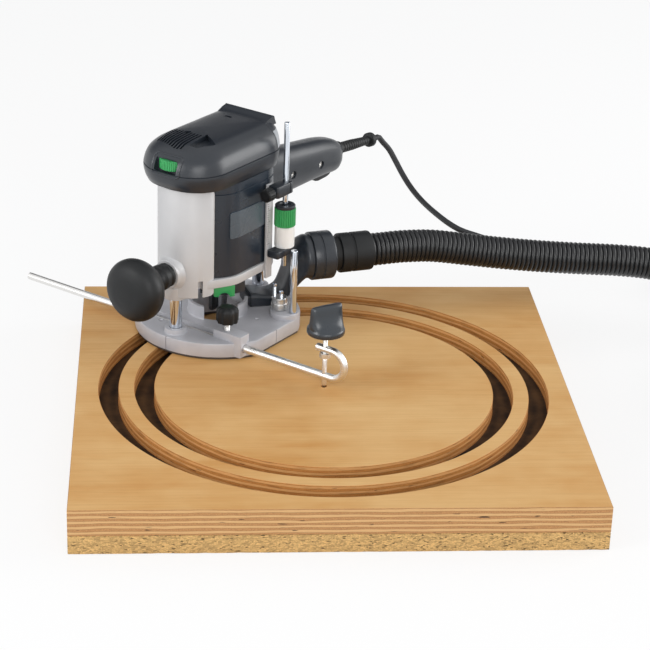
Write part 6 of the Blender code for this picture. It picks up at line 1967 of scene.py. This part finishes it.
class JIG_OT_handle(bpy.types.Operator):
    """Makes the handle's halves, their screws, the trigger and the cord boot"""

    bl_idname = "jig.handle"
    bl_label = "Handle"

    def execute(self, context):
        slot = rectangle(0.1656, 0.1984, -0.0064, 0.0064)
        slot_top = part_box("trigger")[1].z - board_top + 0.0034
        halves = ((-1, "handle_front", "handle_front_half"), (1, "handle_back", "handle_back_half"))
        for side, name, node in halves:
            made = solid(name, loft(self.rings(1.0)))
            near, far = side * 0.0002, -side * 0.03
            other = prism(rectangle(0.05, 0.22, min(near, far), max(near, far)), 0.10, 0.20)
            tools = [other, loft(self.rings(0.80, -0.004, -0.006)), prism(slot, 0.10, slot_top)]
            if side < 0:
                tools += [(self.screw_socket(), self.screw_spot(x, screw)) for x, _, screw in HANDLE_SCREWS]
            cut(made, *tools)
            dress(made, "motor", "moulded_abs", node, angle=34.0)
        for x, name, node in HANDLE_SCREWS:
            self.screw(x, name, node)
        self.trigger()
        self.boot()
        return {"FINISHED"}

    def rings(self, share, start=0.0, end=0.0):
        """Rings along the handle, at a share of its thickness. At full share its end is rounded."""
        rings = []
        last = len(HANDLE_X) - 1
        for i, (x, top, bottom, half) in enumerate(zip(HANDLE_X, HANDLE_HIGH, HANDLE_LOW, HANDLE_HALF)):
            middle, tall = (top + bottom) / 2, (top - bottom) / 2
            place = x + (start if i == 0 else 0.0) + (end if i == last else 0.0)
            ring = []
            for t in even_turns(MIDDLE):
                c, s = math.cos(t), math.sin(t)
                far = (abs(c) ** 3 + abs(s) ** 3) ** (-1 / 3)
                ring.append((place, half * share * c * far, middle + tall * share * s * far))
            rings.append(ring)
        rows = between(rings, [ring[0][0] for ring in rings], 6)
        if share == 1.0:
            inset, back = 0.12, Vector((0.0016, 0.0, 0.0))
            rim = [p - back for p in rows[-1]]
            middle = sum(rim, Vector()) / len(rim)
            rows[-1:] = [rim, [middle + (p - middle) * (1 - inset) + back for p in rim]]
        return rows

    def screw_spot(self, x, node):
        low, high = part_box(node)
        return at(x, 0.0, (low.z + high.z) / 2 - board_top, AGAINST_Y)

    def screw_socket(self):
        radius, wide, top = 0.0043, 0.0050, 0.024
        profile = ((0.0, 0.0), (radius, 0.0), (radius, 0.0150), (wide, 0.0172), (wide, top), (0.0, top))
        return turned(profile, SMALL)

    def screw(self, x, name, node):
        """A countersunk screw with a hexagon socket, at the bottom of its hole."""
        head = 0.0155 - 0.0015 - SEAT
        shank, wide, root = 0.0022, 0.0040, head - 0.019
        profile = [(0.0, root), (shank, root), (shank, head - 0.0025), (wide, head - 0.0022)]
        profile += [(wide, head - 0.0004), (0.0036, head), (0.0, head)]
        place = ROUTER @ self.screw_spot(x, node)
        made = solid(name, turned(profile, SMALL), place)
        cut(made, prism(circle(0.0021, 6), head - 0.0016, head + 0.002), place=place)
        dress(made, "motor", "drawn_steel", node)

    def trigger(self):
        """A bar with a hollow lower side, drawn from its side view."""
        low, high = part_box("trigger")
        bottom = low.z - board_top
        rise = high.z - low.z
        side = (
            (0.1660, rise),
            (0.1660, 0.0034),
            (0.1690, 0.0012),
            (0.1740, 0.0),
            (0.1820, 0.0002),
            (0.1900, 0.0004),
            (0.1950, 0.0016),
            (0.1980, 0.0034),
            (0.1980, rise),
        )
        half, edge = 0.0060, 0.0009
        middle = edge * MITRE
        near = [(-half, edge), (-half + middle, middle), (-half + edge, 0.0)]
        far = [(half - edge, 0.0), (half - middle, middle), (half, edge)]
        rings = []
        for y, inset in near + far:
            rings.append([(x, y, bottom + z + (inset if z < rise else 0.0)) for x, z in side])
        dress(solid("switch_trigger", loft(rings)), "switch", "soft_rubber", "trigger")

    def boot(self):
        """The strain relief: a grommet, a ribbed taper and a ring."""
        slope = math.tan(BOOT_SLOPE)
        radius, tip = 0.0062, 0.0046
        lead = radius * abs(slope)
        grommet = radius * 1.35
        profile = [(0.0, lead), (grommet - 0.0006, lead), (grommet, lead + 0.0006), (grommet, 0.0054)]
        profile.append((radius * 1.1, 0.0062))
        for i in range(12):
            z = 0.0075 + i * 0.0047
            wide = radius + (tip - radius) * max(0.0, (z - 0.030) / 0.037)
            valley = wide - 0.0008
            profile += [(wide, z), (wide, z + 0.0026), (valley, z + 0.0030), (valley, z + 0.0042)]
        ring = 0.0082
        profile += [(tip, 0.0662), (0.0078, 0.0668), (ring, 0.0675), (ring, 0.0725), (0.0076, 0.0733)]
        profile += [(tip, BOOT_LENGTH), (0.0, BOOT_LENGTH)]
        place = ROUTER @ at(BOOT_START, 0.0, BOOT_HEIGHT, Matrix.Rotation(math.pi / 2 - BOOT_SLOPE, 4, "Y"))
        dress(solid("strain_relief", turned(profile, MIDDLE), place), "motor", "soft_rubber", "cord_boot")


class JIG_OT_ball_knob(bpy.types.Operator):
    """Makes the mushroom grip that clamps the column"""

    bl_idname = "jig.ball_knob"
    bl_label = "Ball knob"

    def execute(self, context):
        start, tip = 0.0873, 0.0788
        neck, big, length = 0.0128, 0.033, 0.068
        knots = (
            (neck * 1.06, 0.115),
            (neck * 1.06, 0.195),
            (neck * 0.94, 0.215),
            (neck * 0.92, 0.250),
            (neck * 1.10, 0.340),
            (big * 0.64, 0.450),
            (big * 0.86, 0.560),
            (big * 0.975, 0.660),
            (big, 0.740),
            (big * 0.985, 0.800),
            (big * 0.93, 0.860),
            (big * 0.80, 0.920),
            (big * 0.55, 0.970),
            (big * 0.28, 0.993),
        )
        points = smooth([(radius, length * share, 0.0) for radius, share in knots], 0.0014)
        stud, waist = 0.0040, neck * 0.90
        profile = [(0.0, tip), (stud, tip), (stud, start), (neck - 0.0008, start), (neck, start + 0.0008)]
        profile += [(neck, start + 0.0030), (waist, start + 0.0042), (waist, start + 0.0056)]
        profile += [(p.x, start + p.y) for p in points]
        profile.append((0.0, start + length))
        place = ROUTER @ at(0.0, 0.0, KNOB_HEIGHT, AGAINST_X)
        made = solid("mushroom_knob", turned(profile, ROUND), place)
        dress(made, "plunge_lock", "soft_rubber", "ball_knob", angle=40.0)
        return {"FINISHED"}


class JIG_OT_depth_stop(bpy.types.Operator):
    """Makes the depth stop: rail with scale, rod, holder, clamp knob, fine adjuster and sleeve"""

    bl_idname = "jig.depth_stop"
    bl_label = "Depth stop"

    def execute(self, context):
        spot = at(STOP_X, STOP_Y)
        place = ROUTER @ spot
        bar_outline = rounded_box(RAIL_LEFT, RAIL_RIGHT, RAIL_FRONT, RAIL_BACK, 0.0006, 3)
        rail = solid("rail", prism(bar_outline, 0.062, 0.168, 0.0006))
        ticks = []
        left, front, back = RAIL_LEFT + 0.0003, RAIL_FRONT - 0.0001, RAIL_FRONT + 0.0003
        for i in range(19):
            wide = 0.0046 if i % 5 == 0 else 0.0028
            z = 0.1010 + i * 0.0025
            mark = prism(rectangle(left, left + wide, front, back), z, z + 0.0005)
            ticks.append(coated(solid("tick", mark), "shade_and_print_black"))
        coated(rail, "silver_coat")
        dress(gather("scale_rail", [rail, *ticks]), "motor", "silver_coat", "depth_rail")
        block = rounded_box(RAIL_LEFT, 0.0445, -0.0640, RAIL_FRONT - SEAT, 0.0024, 5)
        holder = solid("holder", prism(block, 0.155, 0.168, 0.0012))
        slit = prism(rectangle(-0.0005, 0.0005, -0.008, 0.0), 0.150, 0.170)
        cut(holder, self.passage(spot), (slit, spot))
        dress(holder, "motor", "moulded_abs", "rod_holder")
        self.sleeve(spot, place)
        self.adjuster(place)
        low, high = (corner.z - board_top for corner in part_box("depth_rod"))
        rod = solid("stop_rod", bar(0.0030, low, high, 0.0007, MIDDLE), place)
        dress(rod, "stop_rod", "hard_chrome", "depth_rod")
        self.clamp_knob()
        return {"FINISHED"}

    def passage(self, spot):
        """The bore that the rod slides in."""
        return bar(0.0034, 0.062, 0.233, sides=SMALL), spot

    def sleeve(self, spot, place):
        """The white sleeve and the dark block that carries it."""
        bore, rim, wide, low, high = 0.0034, 0.0100, 0.0106, 0.0951, 0.1185
        profile = ((bore, low), (rim, low), (wide, 0.0957), (wide, 0.1179), (rim, high), (bore, high))
        collar = solid("white_sleeve", turned(profile, MIDDLE, hollow=True), place)
        coated(collar, "white_acetal")
        outline = rounded_box(RAIL_LEFT, 0.0415, -0.0655, RAIL_FRONT - SEAT, 0.0020, 4)
        block = solid("block", prism(outline, 0.0873, low, 0.0008))
        coated(cut(block, self.passage(spot)), "moulded_abs")
        dress(gather("adjuster_body", [collar, block]), "motor", "white_acetal", "adjuster_sleeve")

    def adjuster(self, place):
        """A ribbed green knob with a dark ring on top."""
        low, high = 0.1188, 0.1423
        ribs = toothed(0.0114, 0.0008, 30, 0.24)
        levels = ((0.0007, low), (0.0, low + 0.0007), (0.0, high - 0.0042), (0.0006, high - 0.0036))
        green = solid("green_ring", loft(stacked(ribs, levels)), place)
        drilled(green, 0.0034, low - 0.002, high + 0.002, place)
        bore, wide, foot, dish = 0.0034, 0.0108, high - 0.0036, high - 0.0012
        profile = [(bore, foot), (0.0106, foot), (wide, high - 0.0030), (wide, high - 0.0008)]
        profile += [(0.0100, high), (0.0062, high), (0.0056, dish), (bore, dish)]
        ring = coated(solid("dark_ring", turned(profile, MIDDLE, hollow=True), place), "moulded_abs")
        made = gather("fine_adjuster", [coated(green, "green_nylon"), ring])
        dress(made, "adjuster", "green_nylon", "fine_adjust_knob", angle=28.0)

    def clamp_knob(self):
        """A small toothed knob on a stem, at the holder's left."""
        place = ROUTER @ at(RAIL_LEFT - SEAT, STOP_Y, 0.1615, AGAINST_X)
        neck, end = 0.0035, 0.0035 + 0.011
        levels = ((0.0008, neck), (0.0, neck + 0.0008), (0.0, end - 0.0012), (0.0012, end))
        rings = stacked(toothed(0.0070, 0.0006, 16), levels)
        head = coated(solid("head", loft(rings), place), "soft_rubber")
        stem = coated(solid("stem", bar(0.0035, SEAT, neck + 0.0005, sides=SMALL), place), "hard_chrome")
        dress(gather("stop_clamp", [head, stem]), "stop_clamp", "soft_rubber", "depth_clamp_knob", angle=28.0)


class JIG_OT_spindle_lock(bpy.types.Operator):
    """Makes the spindle lock's green button and the guard behind it"""

    bl_idname = "jig.spindle_lock"
    bl_label = "Spindle lock"

    def execute(self, context):
        place = ROUTER @ about_z(LOCK_TURN)
        outer, inner, spread = 0.0435, 0.0400, math.radians(33.0)
        band = arc(0.0, 0.0, outer, -spread, spread, 40) + arc(0.0, 0.0, inner, spread, -spread, 40)
        guard = solid("guard", prism(band, 0.0540, 0.0697, 0.0006), place)
        hole = at(0.0, 0.0, 0.0640, ALONG_X)
        cut(guard, (bar(0.0026, 0.020, 0.050, sides=SMALL), hole), place=place)
        dress(guard, "motor", "moulded_abs", "lock_guard", angle=32.0)
        face = outer + 0.0033
        button = solid("button", prism(self.arch(), 0.0, 0.0045, 0.0007), place @ at(face, turn=FACING_X))
        pin = solid("lock_pin", bar(0.0022, 0.0158, face + 0.002, 0.0004, SMALL), place @ hole)
        made = gather("lock_button", [coated(button, "green_nylon"), coated(pin, "drawn_steel")])
        dress(made, "spindle_lock", "green_nylon", "spindle_lock_button", angle=32.0)
        return {"FINISHED"}

    def arch(self):
        """A wide plate with a scooped lower edge."""
        half, low, high = 0.0110, 0.0550, 0.0685
        foot, cut_corner = low + 0.0006, 0.0008
        shoulder = high - cut_corner
        right = [(half, foot), (half, shoulder), (half - cut_corner, high)]
        left = [(cut_corner - half, high), (-half, shoulder), (-half, foot)]
        return right + left + arc(0.0, low - 0.0015, 0.0062, math.pi * 0.92, math.pi * 0.08, 10)


class JIG_OT_spindle(bpy.types.Operator):
    """Makes the collet nut, the collet and the cutter"""

    bl_idname = "jig.spindle"
    bl_label = "Collet and cutter"

    def execute(self, context):
        nut = hex_nut("hex_collet_nut", 0.0125, 0.0082, 0.0440, 0.0665, ROUTER)
        dress(nut, "spindle", "drawn_steel", "collet_nut")
        outer, bore, low, high = 0.0079, 0.0043, 0.0462, 0.0582
        profile = ((outer, low), (outer, 0.0575), (0.0072, high), (bore, high), (bore, low))
        collet = solid("split_collet", turned(profile, MIDDLE, hollow=True))
        for i in range(4):
            slit = prism(rectangle(0.003, 0.010, -0.0003, 0.0003), 0.0440, 0.0560)
            cut(collet, (slit, about_z(i * math.pi / 2 + 0.4)))
        dress(collet, "spindle", "drawn_steel", "collet")
        self.cutter()
        return {"FINISHED"}

    def cutter(self):
        """A two-flute straight cutter."""
        tip, radius, shank, end = 0.0194, 0.0097, 0.0040, 0.0579
        top = tip + 0.021
        profile = [(0.0, tip + 0.0004), (radius - 0.0004, tip), (radius, tip + 0.0003), (radius, top)]
        profile += [(radius - 0.0010, top + 0.0010), (shank, top + 0.0057), (shank, end), (0.0, end)]
        bit = solid("two_flute_cutter", turned(profile, MIDDLE))
        gullet = [(0.0018, -0.0003), (0.0120, -0.0006), (0.0120, 0.0070), (0.0050, 0.0060), (0.0022, 0.0030)]
        for turn in (0.0, math.pi):
            cut(bit, (prism(gullet, tip - 0.002, top - 0.0003), about_z(turn)))
        dress(bit, "spindle", "ground_carbide", "router_bit", angle=32.0)


class JIG_OT_inner_parts(bpy.types.Operator):
    """Makes the return spring and gives the pieces inside the motor their materials"""

    bl_idname = "jig.inner_parts"
    bl_label = "Inner parts"

    def execute(self, context):
        for node, look in (
            ("spindle_shaft", "drawn_steel"),
            ("armature", "copper_winding"),
            ("cooling_fan", "moulded_abs"),
            ("field_stator", "copper_winding"),
            ("bearing_plate", "machined_aluminium"),
            ("lower_bearing", "drawn_steel"),
            ("upper_bearing", "drawn_steel"),
        ):
            made = frame["nodes"][node]
            for slot in made.material_slots:
                slot.material = material(look)
        self.spring()
        return {"FINISHED"}

    def spring(self):
        """The return spring on the left column, made as a fixed coil; the real one flattens as the router
        goes down.
        """
        low, high = (corner.z - board_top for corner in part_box("plunge_spring"))
        wire, turns = 0.0008, 5
        radius = COLUMN_RADIUS - wire
        count = turns * 32
        line = []
        for i in range(count + 1):
            turn = 2 * math.pi * turns * i / count
            height = low + wire + (high - low - 2 * wire) * i / count
            line.append(Vector((radius * math.cos(turn), radius * math.sin(turn), height)))
        made = solid("return_spring", loft(sweep(line, [wire] * len(line), 10)), ROUTER @ at(-COLUMN_X))
        dress(made, "base", "drawn_steel", "plunge_spring")
        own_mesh(made)


class JIG_PT_pieces(bpy.types.Panel):
    """Lists the sizes, the colours and the pieces"""

    bl_idname = "JIG_PT_pieces"
    bl_label = "Router circle cutting jig"
    bl_space_type = "VIEW_3D"
    bl_region_type = "UI"
    bl_category = "Circle jig"

    def draw(self, context):
        for name, title, _ in GROUPS:
            box = self.layout.box()
            box.label(text=title)
            settings = getattr(context.scene, name)
            for field in settings.bl_rna.properties:
                if field.identifier not in {"rna_type", "name"}:
                    box.prop(settings, field.identifier)
        for operator in OPERATORS:
            self.layout.operator(operator.bl_idname)


GROUPS = (
    ("jig_board", "Board", JigBoard),
    ("jig_trammel", "Trammel", JigTrammel),
    ("jig_router", "Router", JigRouter),
    ("jig_hose", "Hose and cord", JigHose),
    ("jig_stage", "Stage", JigStage),
)
OPERATORS = (
    JIG_OT_stage,
    JIG_OT_hose,
    JIG_OT_cord,
    JIG_OT_board,
    JIG_OT_trammel,
    JIG_OT_base,
    JIG_OT_rod_clamp,
    JIG_OT_turret,
    JIG_OT_dust_port,
    JIG_OT_bracket,
    JIG_OT_housing,
    JIG_OT_cap,
    JIG_OT_handle,
    JIG_OT_ball_knob,
    JIG_OT_depth_stop,
    JIG_OT_spindle_lock,
    JIG_OT_spindle,
    JIG_OT_inner_parts,
)


CLASSES = (*(kind for _, _, kind in GROUPS), *OPERATORS, JIG_PT_pieces)


def register():
    for kind in CLASSES:
        bpy.utils.register_class(kind)
    for name, _, kind in GROUPS:
        setattr(bpy.types.Scene, name, PointerProperty(type=kind))


def unregister():
    for name, _, _ in GROUPS:
        delattr(bpy.types.Scene, name)
    for kind in reversed(CLASSES):
        bpy.utils.unregister_class(kind)


def main():
    register()
    for operator in OPERATORS:
        group, name = operator.bl_idname.split(".")
        getattr(getattr(bpy.ops, group), name)()


if __name__ == "__main__":
    main()
